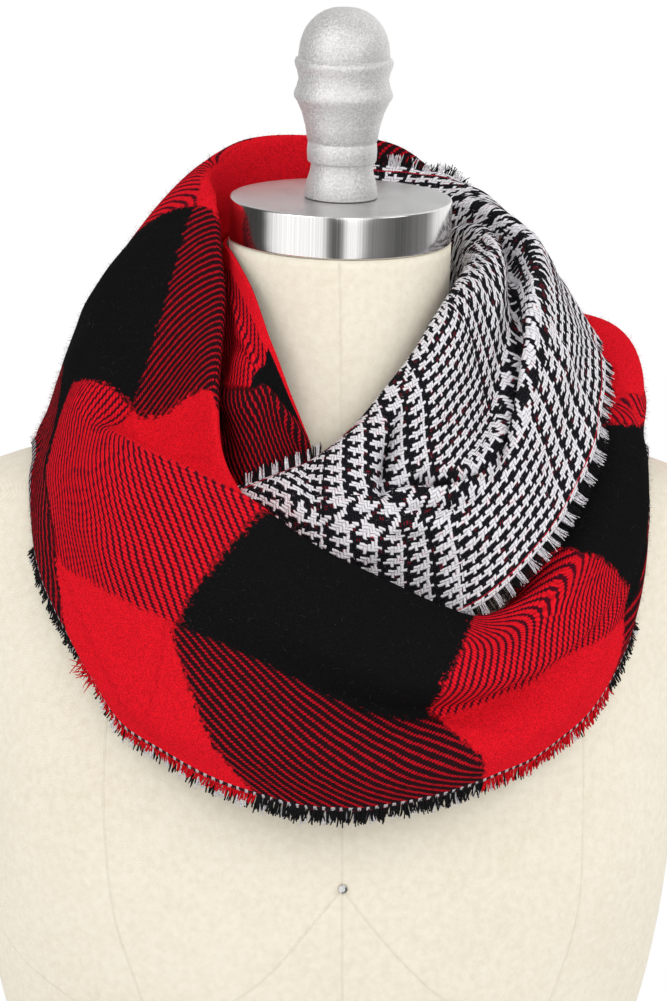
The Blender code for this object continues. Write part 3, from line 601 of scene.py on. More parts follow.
def folded(middle, azimuths, steps, folds, closed, outward):
    """Raises or sinks the cloth in soft lines, each from one place on it to another."""
    azimuths = np.asarray(azimuths, float)[:, None]
    place = np.arange(middle.shape[1])[None, :] / steps
    arc = np.radians(1) * np.hypot(middle[..., 0], middle[..., 1])
    gap = np.linalg.norm(np.diff(middle, axis=1), axis=2).sum(1)[:, None] * steps / (middle.shape[1] - 1)
    lift = np.zeros(middle.shape[:2])
    for start, start_place, end, end_place, half, height in folds:
        turned = azimuths.copy()
        if closed:
            centre = (start + end) / 2
            turned = centre + (azimuths - centre + 180) % 360 - 180
        along_x, along_y = (end - start) * arc, (end_place - start_place) * gap
        here_x, here_y = (turned - start) * arc, (place - start_place) * gap
        part_way = np.clip((here_x * along_x + here_y * along_y) / (along_x**2 + along_y**2), 0, 1)
        away = (here_x - along_x * part_way) ** 2 + (here_y - along_y * part_way) ** 2
        lift += height * np.sin(np.pi * (0.15 + 0.7 * part_way)) * np.exp(-away / half**2)
    return middle + cloth_normals(middle, closed) * (outward * lift)[..., None]


def kept_off(points, surfaces):
    """Moves points out until cloth round them clears each closed surface."""
    cleared = points.reshape(-1, 3).copy()
    for k, point in enumerate(cleared):
        spot_of = Vector(point)
        for tree in surfaces:
            spot, square, _, _ = tree.find_nearest(spot_of, 0.02)
            if spot is None:
                continue
            height = (spot_of - spot).dot(square)
            if height < HALF_CLOTH + ROOM_BETWEEN:
                spot_of = spot_of + square * (HALF_CLOTH + ROOM_BETWEEN - height)
        cleared[k] = spot_of
    return cleared.reshape(points.shape)


def yarn_lengths(middle, closed, start):
    """Lengths along and across the cloth at each of its points, the first counted from one section."""
    rows = np.concatenate([middle, middle[:1]]) if closed else middle
    along = np.linalg.norm(np.diff(rows, axis=0), axis=2)
    along = np.concatenate([np.zeros((1, rows.shape[1])), np.cumsum(along, 0)])
    across = np.linalg.norm(np.diff(rows, axis=1), axis=2)
    across = np.concatenate([np.zeros((len(rows), 1)), np.cumsum(across, 1)], 1)
    return along - along[start], across


def cloth_shell(name, middle, closed, materials, coordinates, edge_side=0):
    """A thin closed shell of cloth round its middle surface, with coordinates kept for its pattern. Its edges
    take the material of one of its sides."""
    normals = cloth_normals(middle, closed)
    n, m = middle.shape[:2]
    faces_of_cloth = [(middle + normals * h).reshape(-1, 3) for h in (HALF_CLOTH, -HALF_CLOTH)]
    i, j = np.meshgrid(np.arange(n if closed else n - 1), np.arange(m - 1), indexing="ij")
    i, j = i.ravel(), j.ravel()
    whole = n * m
    here, there = i * m + j, ((i + 1) % n) * m + j
    kept_here, kept_there = i * m + j, (i + 1) * m + j
    quads = [np.stack([here, there, there + 1, here + 1], 1),
             np.stack([here + 1, there + 1, there, here], 1) + whole]
    kept = [np.stack([kept_here, kept_there, kept_there + 1, kept_here + 1], 1),
            np.stack([kept_here + 1, kept_there + 1, kept_there, kept_here], 1)]
    side = [np.zeros(len(i), int), np.ones(len(i), int)]
    i = np.arange(n if closed else n - 1)
    for edge, order in ((0, 1), (m - 1, -1)):
        a, b = i * m + edge, ((i + 1) % n) * m + edge
        quads.append(np.stack([a, a + whole, b + whole, b], 1)[:, ::order])
        a, b = i * m + edge, (i + 1) * m + edge
        kept.append(np.stack([a, a, b, b], 1)[:, ::order])
        side.append(np.full(len(i), edge_side))
    if not closed:
        j = np.arange(m - 1)
        for end, order in ((0, 1), ((n - 1) * m, -1)):
            a = end + j
            quads.append(np.stack([a, a + 1, a + 1 + whole, a + whole], 1)[:, ::order])
            kept.append(np.stack([a, a + 1, a + 1, a], 1)[:, ::order])
            side.append(np.full(len(j), edge_side))
    quads, kept, side = np.concatenate(quads), np.concatenate(kept).ravel(), np.concatenate(side)
    obj = add_mesh(name, np.concatenate(faces_of_cloth), quads, materials, side)
    for label, values in coordinates.items():
        layer = obj.data.uv_layers.new(name=label)
        flat = values.reshape(-1, 2)[kept]
        layer.data.foreach_set("uv", flat.astype(np.float32).ravel())
    return obj


def rippled(azimuths, waves, seed):
    """Uneven small ripples round an edge, as a sum of waves with random heights and starts."""
    dice = np.random.default_rng(seed)
    turn = np.radians(azimuths)
    return sum(dice.uniform(0.3, 1.0) * np.sin(k * turn + dice.uniform(0, 6.3)) for k in waves)


lap_azimuths = np.linspace(-180, 180, LAP_STATIONS, endpoint=False)
smooth_lap = cloth_middle(OUTER_WRAP, lap_azimuths, LAP_STEPS, closed=True)
lap = folded(smooth_lap, lap_azimuths, LAP_STEPS, OUTER_FOLDS, True, 1)
ripple = rippled(lap_azimuths, (9, 13, 17, 22, 29), 5)
near_hem = np.exp(-np.arange(lap.shape[1]) / (0.55 * LAP_STEPS))
lap = lap + cloth_normals(lap, True) * (0.0005 * ripple[:, None] * near_hem[None, :])[..., None]
lap = kept_off(lap, [form_tree])

# Where the checks fall on the lap, as they lie in the winding: the azimuths of the lines between the wide
# stripes at each place across, and the places of the lines between its rows.
STRIPE_LINES = (
    # azimuths at hem, low roll, valley, belly, ridge, dip, rim, tuck
    (-100, -103, -106, -109, -112, -116, -76, -70),
    (-55, -57, -61, -67, -76, -62, -42, -38),
    (-18, -25.5, -33.5, -28.2, -20, -15, -12, -10),
    (27.6, 23.8, 16, 15.8, 27, 33, 36, 38),
    (58, 59.5, 60, 54.8, 49, 47, 47, 47),
    (96, 90, 84, 79, 72, 67, 66, 66),
    (145, 143, 141, 139, 136, 132, 130, 128),
    (200, 199, 198, 197, 194, 186, 176, 174),
)
ROW_LINES = (
    # azimuth, place of the first line from the hem, place of the second
    (-180, 2.2, 5.85), (-152, 2.3, 6.05), (-130, 2.4, 6.15), (-108, 3.0, 6.0), (-92, 3.4, 5.85),
    (-82, 3.4, 5.75), (-72, 3.2, 5.42), (-65, 2.4, 5.0), (-58, 1.6, 4.25), (-52, 1.83, 4.05),
    (-44, 2.08, 4.0), (-33, 2.17, 4.05), (-20, 2.17, 4.3), (-10, 2.08, 4.6), (-2, 1.92, 4.8),
    (14, 1.83, 5.0), (26, 1.92, 5.0), (38, 1.95, 5.1), (43, 2.1, 5.2), (50, 1.92, 5.3),
    (58, 1.5, 5.4), (65, 1.3, 5.4), (74, 1.45, 5.1), (79, 1.6, 4.9), (83, 1.7, 3.9),
    (88, 1.9, 3.2), (97, 2.0, 3.1), (110, 2.2, 3.3), (130, 2.3, 3.9), (155, 2.2, 4.8),
)


def check_coordinates(azimuths, count):
    """Which stripe and which row each point of the lap lies in, as two running numbers."""
    place = np.arange(count) / LAP_STEPS
    lines = np.array(STRIPE_LINES, float)
    at_places = np.stack([np.interp(place, np.arange(lines.shape[1]), line) for line in lines])
    numbers = np.arange(len(lines), dtype=float)
    numbers = np.concatenate([numbers - len(lines), numbers, numbers + len(lines)])
    rows = smooth_curve([row[0] for row in ROW_LINES], [row[1:] for row in ROW_LINES], azimuths, 360)
    found = np.zeros((len(azimuths), count, 2))
    for j in range(count):
        marks = at_places[:, j]
        found[:, j, 0] = np.interp(azimuths, np.concatenate([marks - 360, marks, marks + 360]), numbers)
    top = place[-1]
    for i, (first, second) in enumerate(rows):
        found[i, :, 1] = np.interp(place, (0, first, second, top + 0.3), (0.35, 1, 2, 2.95))
    return found


wide_azimuths = np.concatenate([lap_azimuths, [180.0]])
lap_yarns = np.stack(yarn_lengths(smooth_lap, True, LAP_STATIONS // 2), 2)
lap_checks = check_coordinates(wide_azimuths, lap.shape[1])
lap_edges = np.stack([lap_yarns[..., 1], lap_yarns[..., 1][:, -1:] - lap_yarns[..., 1]], 2)

# Where a fold turns the cloth they turn with it.
CORDS = {
    # stripe, row: share along, share across, the same two above the fold, place where they change
    (-2, 1): (0.30, 0.95, 0.30, 0.95, 3.0),
    (0, 0): (0.66, 0.10, 0.66, 0.10, 1.0),
    (1, 1): (0.92, 0.58, 0.92, 0.58, 3.0),
    (2, 0): (0.66, 1.04, 0.66, 1.04, 1.0),
    (3, 1): (1.15, -0.42, 0.52, 1.10, 3.75),
    (0, 2): (1.28, 0.26, 1.28, 0.26, 5.5),
    (2, 2): (0.93, 0.38, 0.93, 0.38, 5.5),
    (4, 0): (0.38, 0.92, 0.38, 0.92, 1.0),
    (4, 2): (0.80, 0.60, 0.80, 0.60, 4.0),
    (5, 1): (0.60, 0.80, 0.60, 0.80, 3.0),
    (6, 0): (0.38, 0.92, 0.38, 0.92, 1.0),
    (6, 2): (0.93, 0.38, 0.93, 0.38, 5.5),
    (-1, 1): (0.26, 0.97, 0.26, 0.97, 5.0),
}


def cord_coordinates(yarns, checks, steps):
    """Counts the twill's cords across and along themselves, in metres, for each point of the cloth."""
    u, v = yarns[..., 0], yarns[..., 1]
    stripe, row = checks[..., 0], checks[..., 1]
    place = np.arange(u.shape[1])[None, :] / steps + 0 * u
    best = np.full(u.shape, 1e9)
    across, along = v.copy(), u.copy()
    for (k, r), (low_u, low_v, high_u, high_v, turn_at) in CORDS.items():
        far = np.maximum(abs(stripe - k - 0.5), abs(row - r - 0.5))
        inside = (abs(stripe - k - 0.5) < 0.6) & (abs(row - r - 0.5) < 0.6)
        if not inside.any():
            continue
        mid_u, mid_v = u[inside].mean(), v[inside & (abs(place - turn_at) < 1.0)].mean()
        high = np.clip((place - turn_at) / 0.8 + 0.5, 0, 1)
        high = high * high * (3 - 2 * high)
        a, b = low_u + (high_u - low_u) * high, low_v + (high_v - low_v) * high
        nearer = far < best
        across = np.where(nearer, a * (u - mid_u) + b * (v - mid_v), across)
        along = np.where(nearer, b * (u - mid_u) - a * (v - mid_v), along)
        best = np.minimum(best, far)
    return np.stack([across, along], 2)


lap_cords = cord_coordinates(lap_yarns, lap_checks, LAP_STEPS)


CORD_PITCH = 0.0046
TWIST_LENGTH = 0.0021
HEM_DASH = 0.0042


def check_twill():
    """Buffalo check in napped twill: where stripe and row agree the colour is solid, and elsewhere cords of
    one colour lie beside cords of the other."""
    group, given, result, add, maths, join = new_group(
        "check_twill",
        (("Yarns", "vector", None), ("Cords", "vector", None),
         ("Checks", "vector", None), ("Edges", "vector", None),
         ("Red", "colour", (0.62, 0.010, 0.020, 1)), ("Black", "colour", (0.010, 0.010, 0.012, 1)),
         ("Cord Pitch", "number", CORD_PITCH)),
        (("Colour", "colour"), ("Height", "number")),
    )
    place = own_place(add)
    yarns, cords, checks, edges = (
        add("ShaderNodeSeparateXYZ", {0: given[layer]}).outputs
        for layer in ("Yarns", "Cords", "Checks", "Edges"))
    drift = noise(add, place, 75.0, 2.0)
    blur = noise(add, place, 520.0, 2.0)
    fuzz = noise(add, place, 1500.0, 3.0, roughness=0.65)
    hair = noise(add, place, 900.0, 4.0, distortion=1.2)
    blur_off = maths("SUBTRACT", blur, 0.5)
    soft = maths("MULTIPLY", blur_off, 0.10)

    def parity(number):
        wave = maths("SINE", maths("MULTIPLY", maths("ADD", number, soft), math.pi))
        return steps_between(add, wave, -0.05, 0.05)

    def opposite(share):
        return maths("SUBTRACT", 1.0, share)

    def half_wave(angle):
        return maths("ADD", maths("MULTIPLY", maths("SINE", angle), 0.5), 0.5)

    stripe_red = opposite(parity(checks["X"]))
    row_red = parity(checks["Y"])
    stripe_only = maths("MULTIPLY", stripe_red, opposite(row_red))
    row_only = maths("MULTIPLY", row_red, opposite(stripe_red))
    both = maths("ADD", maths("MULTIPLY", stripe_red, row_red),
                 maths("MULTIPLY", opposite(stripe_red), opposite(row_red)))

    phase = maths("ADD", maths("DIVIDE", cords["X"], given["Cord Pitch"]), maths("MULTIPLY", drift, 0.30))
    cord = half_wave(maths("MULTIPLY", phase, 2 * math.pi))
    twist = half_wave(weighted(maths, (cords["Y"], 2 * math.pi / TWIST_LENGTH), (phase, -7.0)))
    ragged = weighted(maths, (maths("SUBTRACT", twist, 0.5), 0.34), (blur_off, 0.75))
    cord_edge = maths("ADD", cord, ragged)
    red_cords = steps_between(add, cord_edge, 0.20, 0.52)
    red_lines = steps_between(add, cord_edge, 0.60, 0.94)
    half = chosen(add, stripe_red, red_lines, red_cords)
    red_share = chosen(add, maths("MINIMUM", both, 1.0), half, stripe_red)

    # Painted highlight: in the mixed checks the red lightens along each cord's twist, and everywhere the
    # nap's fuzz mottles it at random. The deep red is the red's shaded copy.
    shine = chosen(add, opposite(both), 0.08, maths("MULTIPLY", twist, 0.16))
    cord_highlight_and_nap = maths("ADD", shine, maths("MULTIPLY", fuzz, 0.75))
    deep = tinted(add, given["Red"], (0.42, 0.55, 0.60))
    red = mixed(add, steps_between(add, cord_highlight_and_nap, 0.26, 0.58), deep, given["Red"])
    lit = tinted(add, given["Black"], (2.8, 2.6, 2.7))
    black = mixed(add, steps_between(add, fuzz, 0.50, 0.80), given["Black"], lit)
    warmed = mixed(add, stripe_only, black, (0.060, 0.006, 0.013, 1))
    warmed = mixed(add, row_only, warmed, (0.022, 0.007, 0.009, 1))
    red = mixed(add, row_only, red, tinted(add, red, (0.62, 0.75, 0.80)))
    colour = mixed(add, red_share, warmed, red)
    colour = mixed(add, steps_between(add, hair, 0.70, 0.80, 0.0, 0.16), colour, (0.42, 0.40, 0.42, 1))
    dash = maths("FLOORED_MODULO", maths("DIVIDE", yarns["X"], HEM_DASH), 1.0)
    white = maths("LESS_THAN", dash, maths("MULTIPLY", blur, 0.75))
    dashes = mixed(add, white, (0.016, 0.014, 0.016, 1), (0.50, 0.47, 0.49, 1))
    at_hem = maths("LESS_THAN", maths("ABSOLUTE", maths("SUBTRACT", edges["X"], 0.0014)), 0.0012)
    join(mixed(add, at_hem, colour, dashes), result["Colour"])
    solid_red = maths("MULTIPLY", both, stripe_red)
    relief = chosen(add, both, maths("MULTIPLY", cord, 0.9), 0.0)
    relief = maths("ADD", relief, maths("MULTIPLY", maths("MULTIPLY", cord, solid_red), 0.06))
    twisted = opposite(maths("SUBTRACT", both, maths("MULTIPLY", solid_red, 0.25)))
    relief = maths("ADD", relief, maths("MULTIPLY", maths("MULTIPLY", twist, twisted), 0.22))
    join(maths("ADD", relief, maths("MULTIPLY", fuzz, 0.8)), result["Height"])
    return group


twill_of_checks = check_twill()
YARN_PITCH = 0.00145
STITCH_IN, STITCH_HALF = 0.0030, 0.0004


def glen_weave():
    """Glen plaid woven yarn by yarn: a two-and-two twill whose warp and weft turn by turns from four light
    and four dark yarns, which makes houndstooth, to two and two, which makes a small check."""
    group, given, result, add, maths, join = new_group(
        "glen_weave",
        (("Yarns", "vector", None), ("Zones", "vector", None), ("Edges", "vector", None),
         ("Light", "colour", (0.74, 0.72, 0.75, 1)), ("Dark", "colour", (0.010, 0.010, 0.012, 1)),
         ("Yarn Pitch", "number", YARN_PITCH)),
        (("Colour", "colour"), ("Height", "number")),
    )
    place = own_place(add)
    drift = noise(add, place, 330.0, 2.0, "Color")
    slow = noise(add, place, 60.0, 2.0, "Color")
    fuzz = noise(add, place, 1500.0, 3.0, roughness=0.7)

    def pushed(vector, push, amount):
        centred = add("ShaderNodeVectorMath", {0: push, 1: (0.5, 0.5, 0.5)}, operation="SUBTRACT").outputs[0]
        scaled = add("ShaderNodeVectorMath", {0: centred, "Scale": amount}, operation="SCALE").outputs[0]
        return add("ShaderNodeVectorMath", {0: vector, 1: scaled}, operation="ADD").outputs[0]

    yarns = pushed(pushed(given["Yarns"], drift, 0.0016), slow, 0.0030)
    split, zones, edges = (
        add("ShaderNodeSeparateXYZ", {0: source}).outputs
        for source in (yarns, given["Zones"], given["Edges"]))
    a, b = (maths("DIVIDE", split[k], given["Yarn Pitch"]) for k in ("X", "Y"))
    i, j = maths("FLOOR", a), maths("FLOOR", b)
    warp_up = maths("LESS_THAN", maths("FLOORED_MODULO", maths("SUBTRACT", i, j), 4.0), 1.5)

    def light_yarn(number, zone):
        wide = maths("LESS_THAN", maths("FLOORED_MODULO", number, 8.0), 3.5)
        small = maths("LESS_THAN", maths("FLOORED_MODULO", number, 4.0), 1.5)
        houndstooth = maths("GREATER_THAN", maths("SINE", maths("MULTIPLY", zone, math.pi)), 0.0)
        return chosen(add, houndstooth, small, wide)

    light = chosen(add, warp_up, light_yarn(j, zones["Y"]), light_yarn(i, zones["X"]))
    across = chosen(add, warp_up, maths("FRACT", b), maths("FRACT", a))
    round_yarn = maths("SINE", maths("MULTIPLY", across, math.pi))
    # Painted light and shade: each yarn is coloured lighter at its middle and darker at its edges, as its
    # rounding would be lit, and the nap's fuzz mottles both.
    shade = weighted(maths, (round_yarn, 0.55), (fuzz, 0.75))
    shaded_light_yarn = tinted(add, given["Light"], (0.34, 0.33, 0.35))
    pale = mixed(add, steps_between(add, shade, 0.30, 0.78), shaded_light_yarn, given["Light"])
    highlit_dark_yarn = tinted(add, given["Dark"], (2.6, 2.5, 2.7))
    dark = mixed(add, steps_between(add, shade, 0.55, 0.95), given["Dark"], highlit_dark_yarn)
    colour = mixed(add, light, dark, pale)
    cell = add("ShaderNodeCombineXYZ", {"X": i, "Y": j}).outputs[0]
    chance = add("ShaderNodeTexWhiteNoise", {"Vector": cell}).outputs["Value"]
    rim = maths("LESS_THAN", round_yarn, 0.62)
    speck = maths("MULTIPLY", maths("GREATER_THAN", chance, 0.955), rim)
    colour = mixed(add, maths("MULTIPLY", speck, 0.6), colour, (0.42, 0.012, 0.030, 1))
    line = maths("MAXIMUM", *(maths("COMPARE", edges[k], STITCH_IN, STITCH_HALF) for k in ("X", "Y")))
    shown = steps_between(add, fuzz, 0.42, 0.52)
    join(mixed(add, maths("MULTIPLY", line, shown), colour, (0.55, 0.012, 0.035, 1)), result["Colour"])
    join(weighted(maths, (round_yarn, 0.8), (fuzz, 0.5)), result["Height"])
    return group


red_and_black = woven(
    "buffalo_check_twill", twill_of_checks,
    {"Yarns": "yarns", "Cords": "cords", "Checks": "checks", "Edges": "edges"},
    {"Red": (0.86, 0.0105, 0.0210), "Black": (0.0062, 0.0060, 0.0064)},
    (0.75, 0.0009), {"Roughness": 0.95, "Specular IOR Level": 0.01})
black_and_white = woven(
    "glen_plaid_twill", glen_weave(),
    {"Yarns": "yarns", "Zones": "checks", "Edges": "edges"},
    {"Light": (0.80, 0.78, 0.81), "Dark": (0.0060, 0.0060, 0.0068)},
    (0.7, 0.0007), {"Roughness": 0.95, "Specular IOR Level": 0.03})
outer_lap = cloth_shell("outer_lap", lap, True, [red_and_black, black_and_white],
                        {"yarns": lap_yarns, "cords": lap_cords, "checks": lap_checks, "edges": lap_edges})
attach(outer_lap, "root")
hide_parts("outer_wrap")
lap_tree = surface_tree(outer_lap)


# The collar: the scarf's next lap of the same double twill, turned over so that its glen plaid shows. It
# stands against the neck, rolls outward over a crease in two rolls and falls on the outer lap. Its end at the
# front opens in a small flap.
COLLAR = (
    # azimuth, then r and z of: foot, inner roll, crest, crease, outer roll, fall, fringed edge
    (-34, 0.0960, 0.551, 0.0965, 0.552, 0.0975, 0.550, 0.0985, 0.546,
     0.0990, 0.538, 0.0985, 0.522, 0.0975, 0.505),
    (-22, 0.0800, 0.556, 0.0830, 0.559, 0.0880, 0.558, 0.0940, 0.553,
     0.0990, 0.542, 0.0995, 0.523, 0.0975, 0.500),
    (-12, 0.0690, 0.556, 0.0725, 0.564, 0.0800, 0.564, 0.0890, 0.557,
     0.0985, 0.543, 0.1000, 0.522, 0.0970, 0.494),
    (4, 0.0600, 0.560, 0.0665, 0.580, 0.0770, 0.576, 0.0870, 0.558,
     0.0980, 0.543, 0.1000, 0.519, 0.0970, 0.488),
    (17, 0.0590, 0.575, 0.0665, 0.598, 0.0780, 0.588, 0.0880, 0.560,
     0.0980, 0.546, 0.1020, 0.520, 0.1000, 0.486),
    (30, 0.0580, 0.590, 0.0670, 0.615, 0.0800, 0.603, 0.0920, 0.565,
     0.1040, 0.556, 0.1160, 0.530, 0.1240, 0.501),
    (42, 0.0570, 0.600, 0.0660, 0.631, 0.0800, 0.622, 0.0960, 0.578,
     0.1100, 0.576, 0.1270, 0.555, 0.1385, 0.530),
    (55, 0.0567, 0.604, 0.0650, 0.642, 0.0780, 0.641, 0.0940, 0.613,
     0.1090, 0.616, 0.1270, 0.592, 0.1425, 0.565),
    (68, 0.0567, 0.606, 0.0640, 0.648, 0.0760, 0.652, 0.0900, 0.634,
     0.1040, 0.636, 0.1220, 0.613, 0.1360, 0.590),
    (82, 0.0567, 0.608, 0.0640, 0.650, 0.0750, 0.657, 0.0870, 0.645,
     0.1010, 0.648, 0.1170, 0.624, 0.1300, 0.606),
    (98, 0.0567, 0.608, 0.0640, 0.650, 0.0740, 0.660, 0.0850, 0.652,
     0.0985, 0.657, 0.1135, 0.637, 0.1245, 0.617),
    (112, 0.0570, 0.606, 0.0640, 0.645, 0.0720, 0.660, 0.0800, 0.660,
     0.0900, 0.666, 0.1030, 0.657, 0.1120, 0.639),
    (125, 0.0580, 0.604, 0.0640, 0.638, 0.0690, 0.654, 0.0750, 0.662,
     0.0830, 0.671, 0.0910, 0.674, 0.0985, 0.667),
    (140, 0.0600, 0.602, 0.0640, 0.630, 0.0670, 0.648, 0.0700, 0.660,
     0.0750, 0.670, 0.0810, 0.677, 0.0875, 0.679),
    (160, 0.0620, 0.600, 0.0640, 0.626, 0.0660, 0.645, 0.0680, 0.657,
     0.0710, 0.668, 0.0745, 0.676, 0.0785, 0.683),
    (178, 0.0640, 0.600, 0.0650, 0.626, 0.0655, 0.643, 0.0670, 0.656,
     0.0690, 0.667, 0.0715, 0.675, 0.0745, 0.682),
)
COLLAR_FOLDS = (
    # azimuth and place across where it starts and where it ends, half width, height
    (11, 3.2, 17, 2.2, 0.0060, -0.0060),
    (-6, 5.1, 14, 4.2, 0.0075, 0.0045),
    (14, 4.2, 37, 5.1, 0.0075, 0.0045),
    (19, 3.1, 36, 4.0, 0.0065, -0.0045),
    (-15, 2.0, -8, 4.2, 0.0060, -0.0035),
    (30, 1.3, 60, 1.7, 0.0080, 0.0020),
    (44, 5.1, 74, 5.4, 0.0090, -0.0020),
    (100, 1.3, 150, 2.4, 0.0090, 0.0020),
    (10, 3.4, 15.5, 2.1, 0.0040, -0.0075),
    (132, 2.3, 98, 3.0, 0.0045, -0.0065),
    (104, 3.0, 69, 2.95, 0.0045, -0.0080),
    (72, 2.95, 56, 3.40, 0.0042, -0.0070),
    (58, 3.38, 47, 3.70, 0.0040, -0.0075),
    (49, 3.66, 38, 4.25, 0.0036, -0.0070),
    (130, 3.6, 92, 3.75, 0.0065, 0.0045),
    (96, 3.75, 62, 3.75, 0.0060, 0.0045),
    (118, 1.7, 84, 2.1, 0.0060, 0.0030),
    (62, 3.70, 44, 4.30, 0.0045, 0.0035),
    (84, 2.20, 46, 2.70, 0.0060, 0.0025),
    (12, 3.25, 24, 3.20, 0.0028, -0.0045),
    (22, 3.15, 37, 4.10, 0.0028, -0.0060),
    (20, 3.55, 34, 4.05, 0.0032, 0.0028),
    (14, 3.95, 33, 4.38, 0.0028, -0.0048),
    (8, 4.35, 28, 4.75, 0.0032, -0.0030),
    (2, 3.9, 14, 4.05, 0.0030, -0.0022),
    (-20, 2.4, -13, 4.0, 0.0040, 0.0020),
    (-26, 3.0, -22, 4.4, 0.0035, -0.0016),
    (-3, 1.8, 2, 3.6, 0.0045, 0.0018),
    (6, 1.2, 10, 2.6, 0.0035, -0.0014),
    (62, 1.6, 92, 1.8, 0.0045, -0.0014),
    (52, 4.7, 78, 4.9, 0.0050, 0.0014),
    (84, 4.6, 112, 5.0, 0.0050, -0.0016),
    (40, 4.9, 52, 5.6, 0.0045, -0.0014),
    (118, 3.4, 150, 4.4, 0.0045, 0.0012),
)
COLLAR_STEPS = 12
COLLAR_AZIMUTHS = np.linspace(COLLAR[0][0], COLLAR[-1][0], 420)

smooth_collar = cloth_middle(COLLAR, COLLAR_AZIMUTHS, COLLAR_STEPS)
collar = folded(smooth_collar, COLLAR_AZIMUTHS, COLLAR_STEPS, COLLAR_FOLDS, False, -1)
ripple = rippled(COLLAR_AZIMUTHS, (11, 17, 23, 31, 40), 8)
near_edge = np.exp(-np.arange(collar.shape[1])[::-1] / (0.6 * COLLAR_STEPS))
lift = 0.0006 * (ripple + 1.2)[:, None] * near_edge[None, :]
collar = collar - cloth_normals(collar, False) * lift[..., None]
collar = kept_off(collar, [form_tree, lap_tree])

# Where the bands of houndstooth and of small check lie on the collar, as azimuths and as places across. They
# take turns, and the first is houndstooth.
PLAID_STATIONS = (-34, -8, 28, 46, 64, 90, 125, 150, 200)
PLAID_NUMBERS = (-0.98, 0, 1, 2, 3, 4, 5, 6, 6.98)
PLAID_PLACES = (0, 1.45, 3.45, 4.35, 6)
PLAID_ROWS = (0.02, 1, 2, 3, 3.98)

reference = int(np.argmin(abs(COLLAR_AZIMUTHS - 35)))
along, across = yarn_lengths(smooth_collar, False, reference)
middle_length = along[:, [int(3.6 * COLLAR_STEPS)]]
own_share = 0.35 * np.exp(-(((COLLAR_AZIMUTHS - 35) / 60) ** 2))[:, None]
along = middle_length + own_share * (along - middle_length)
from_edge = across[:, -1:] - across
zone_along = np.interp(COLLAR_AZIMUTHS, PLAID_STATIONS, PLAID_NUMBERS)
zone_across = np.interp(np.arange(collar.shape[1]) / COLLAR_STEPS, PLAID_PLACES, PLAID_ROWS)
collar_yarns = np.stack([along, from_edge], 2)
collar_zones = np.stack(np.broadcast_arrays(zone_along[:, None], zone_across[None, :]), 2)
stitch_line = np.where(COLLAR_AZIMUTHS < 6, across[:, COLLAR_STEPS] - 0.0006, 0)[:, None]
collar_edges = np.stack([across - stitch_line, from_edge], 2)
collar_lap = cloth_shell(
    "collar_lap", collar, False, [red_and_black, black_and_white],
    {"yarns": collar_yarns, "cords": collar_yarns, "checks": collar_zones, "edges": collar_edges},
    edge_side=1)
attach(collar_lap, "root")
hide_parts("inner_wrap_right")
collar_tree = surface_tree(collar_lap)


# The inner lap on the viewer's left: the part of the scarf that runs down inside the outer lap, against the
# neck, and goes in under the flap. Its buffalo check faces out.
INNER_LEFT = (
    # azimuth, then r and z of: top, groove, second roll, face, foot
    (-176, 0.0590, 0.655, 0.0600, 0.642, 0.0610, 0.628, 0.0620, 0.612, 0.0625, 0.600),
    (-150, 0.0580, 0.655, 0.0590, 0.642, 0.0600, 0.628, 0.0610, 0.612, 0.0615, 0.600),
    (-120, 0.0570, 0.656, 0.0580, 0.642, 0.0590, 0.628, 0.0600, 0.610, 0.0610, 0.598),
    (-95, 0.0567, 0.656, 0.0575, 0.642, 0.0590, 0.628, 0.0610, 0.608, 0.0620, 0.594),
    (-75, 0.0575, 0.656, 0.0580, 0.641, 0.0595, 0.626, 0.0620, 0.606, 0.0635, 0.590),
    (-60, 0.0600, 0.652, 0.0605, 0.636, 0.0620, 0.620, 0.0655, 0.595, 0.0680, 0.575),
    (-45, 0.0640, 0.641, 0.0665, 0.624, 0.0720, 0.614, 0.0800, 0.582, 0.0830, 0.556),
    (-32, 0.0665, 0.616, 0.0715, 0.605, 0.0800, 0.602, 0.0885, 0.572, 0.0900, 0.545),
    (-23, 0.0670, 0.592, 0.0705, 0.585, 0.0735, 0.577, 0.0760, 0.560, 0.0780, 0.538),
    (-16, 0.0640, 0.571, 0.0650, 0.566, 0.0655, 0.560, 0.0665, 0.551, 0.0670, 0.540),
)
LEFT_FOLDS = (
    # azimuth and place across where it starts and where it ends, half width, height
    (-70, 1.2, -30, 1.6, 0.0035, 0.0012),
    (-70, 3.4, -33, 2.5, 0.0045, 0.0035),
    (-34, 2.5, -17, 0.9, 0.0040, 0.0030),
    (-58, 2.3, -32, 1.6, 0.0035, -0.0025),
    (-50, 3.3, -30, 3.2, 0.0040, -0.0010),
)
LEFT_AZIMUTHS = np.linspace(INNER_LEFT[0][0], INNER_LEFT[-1][0], 300)
LEFT_STEPS = 14

smooth_left = cloth_middle(INNER_LEFT, LEFT_AZIMUTHS, LEFT_STEPS)
left = folded(smooth_left, LEFT_AZIMUTHS, LEFT_STEPS, LEFT_FOLDS, False, -1)
left = kept_off(left, [form_tree, lap_tree, collar_tree])
along, across = yarn_lengths(smooth_left, False, int(np.argmin(abs(LEFT_AZIMUTHS + 35))))
place = np.arange(left.shape[1])[None, :] / LEFT_STEPS
azimuth = LEFT_AZIMUTHS[:, None]

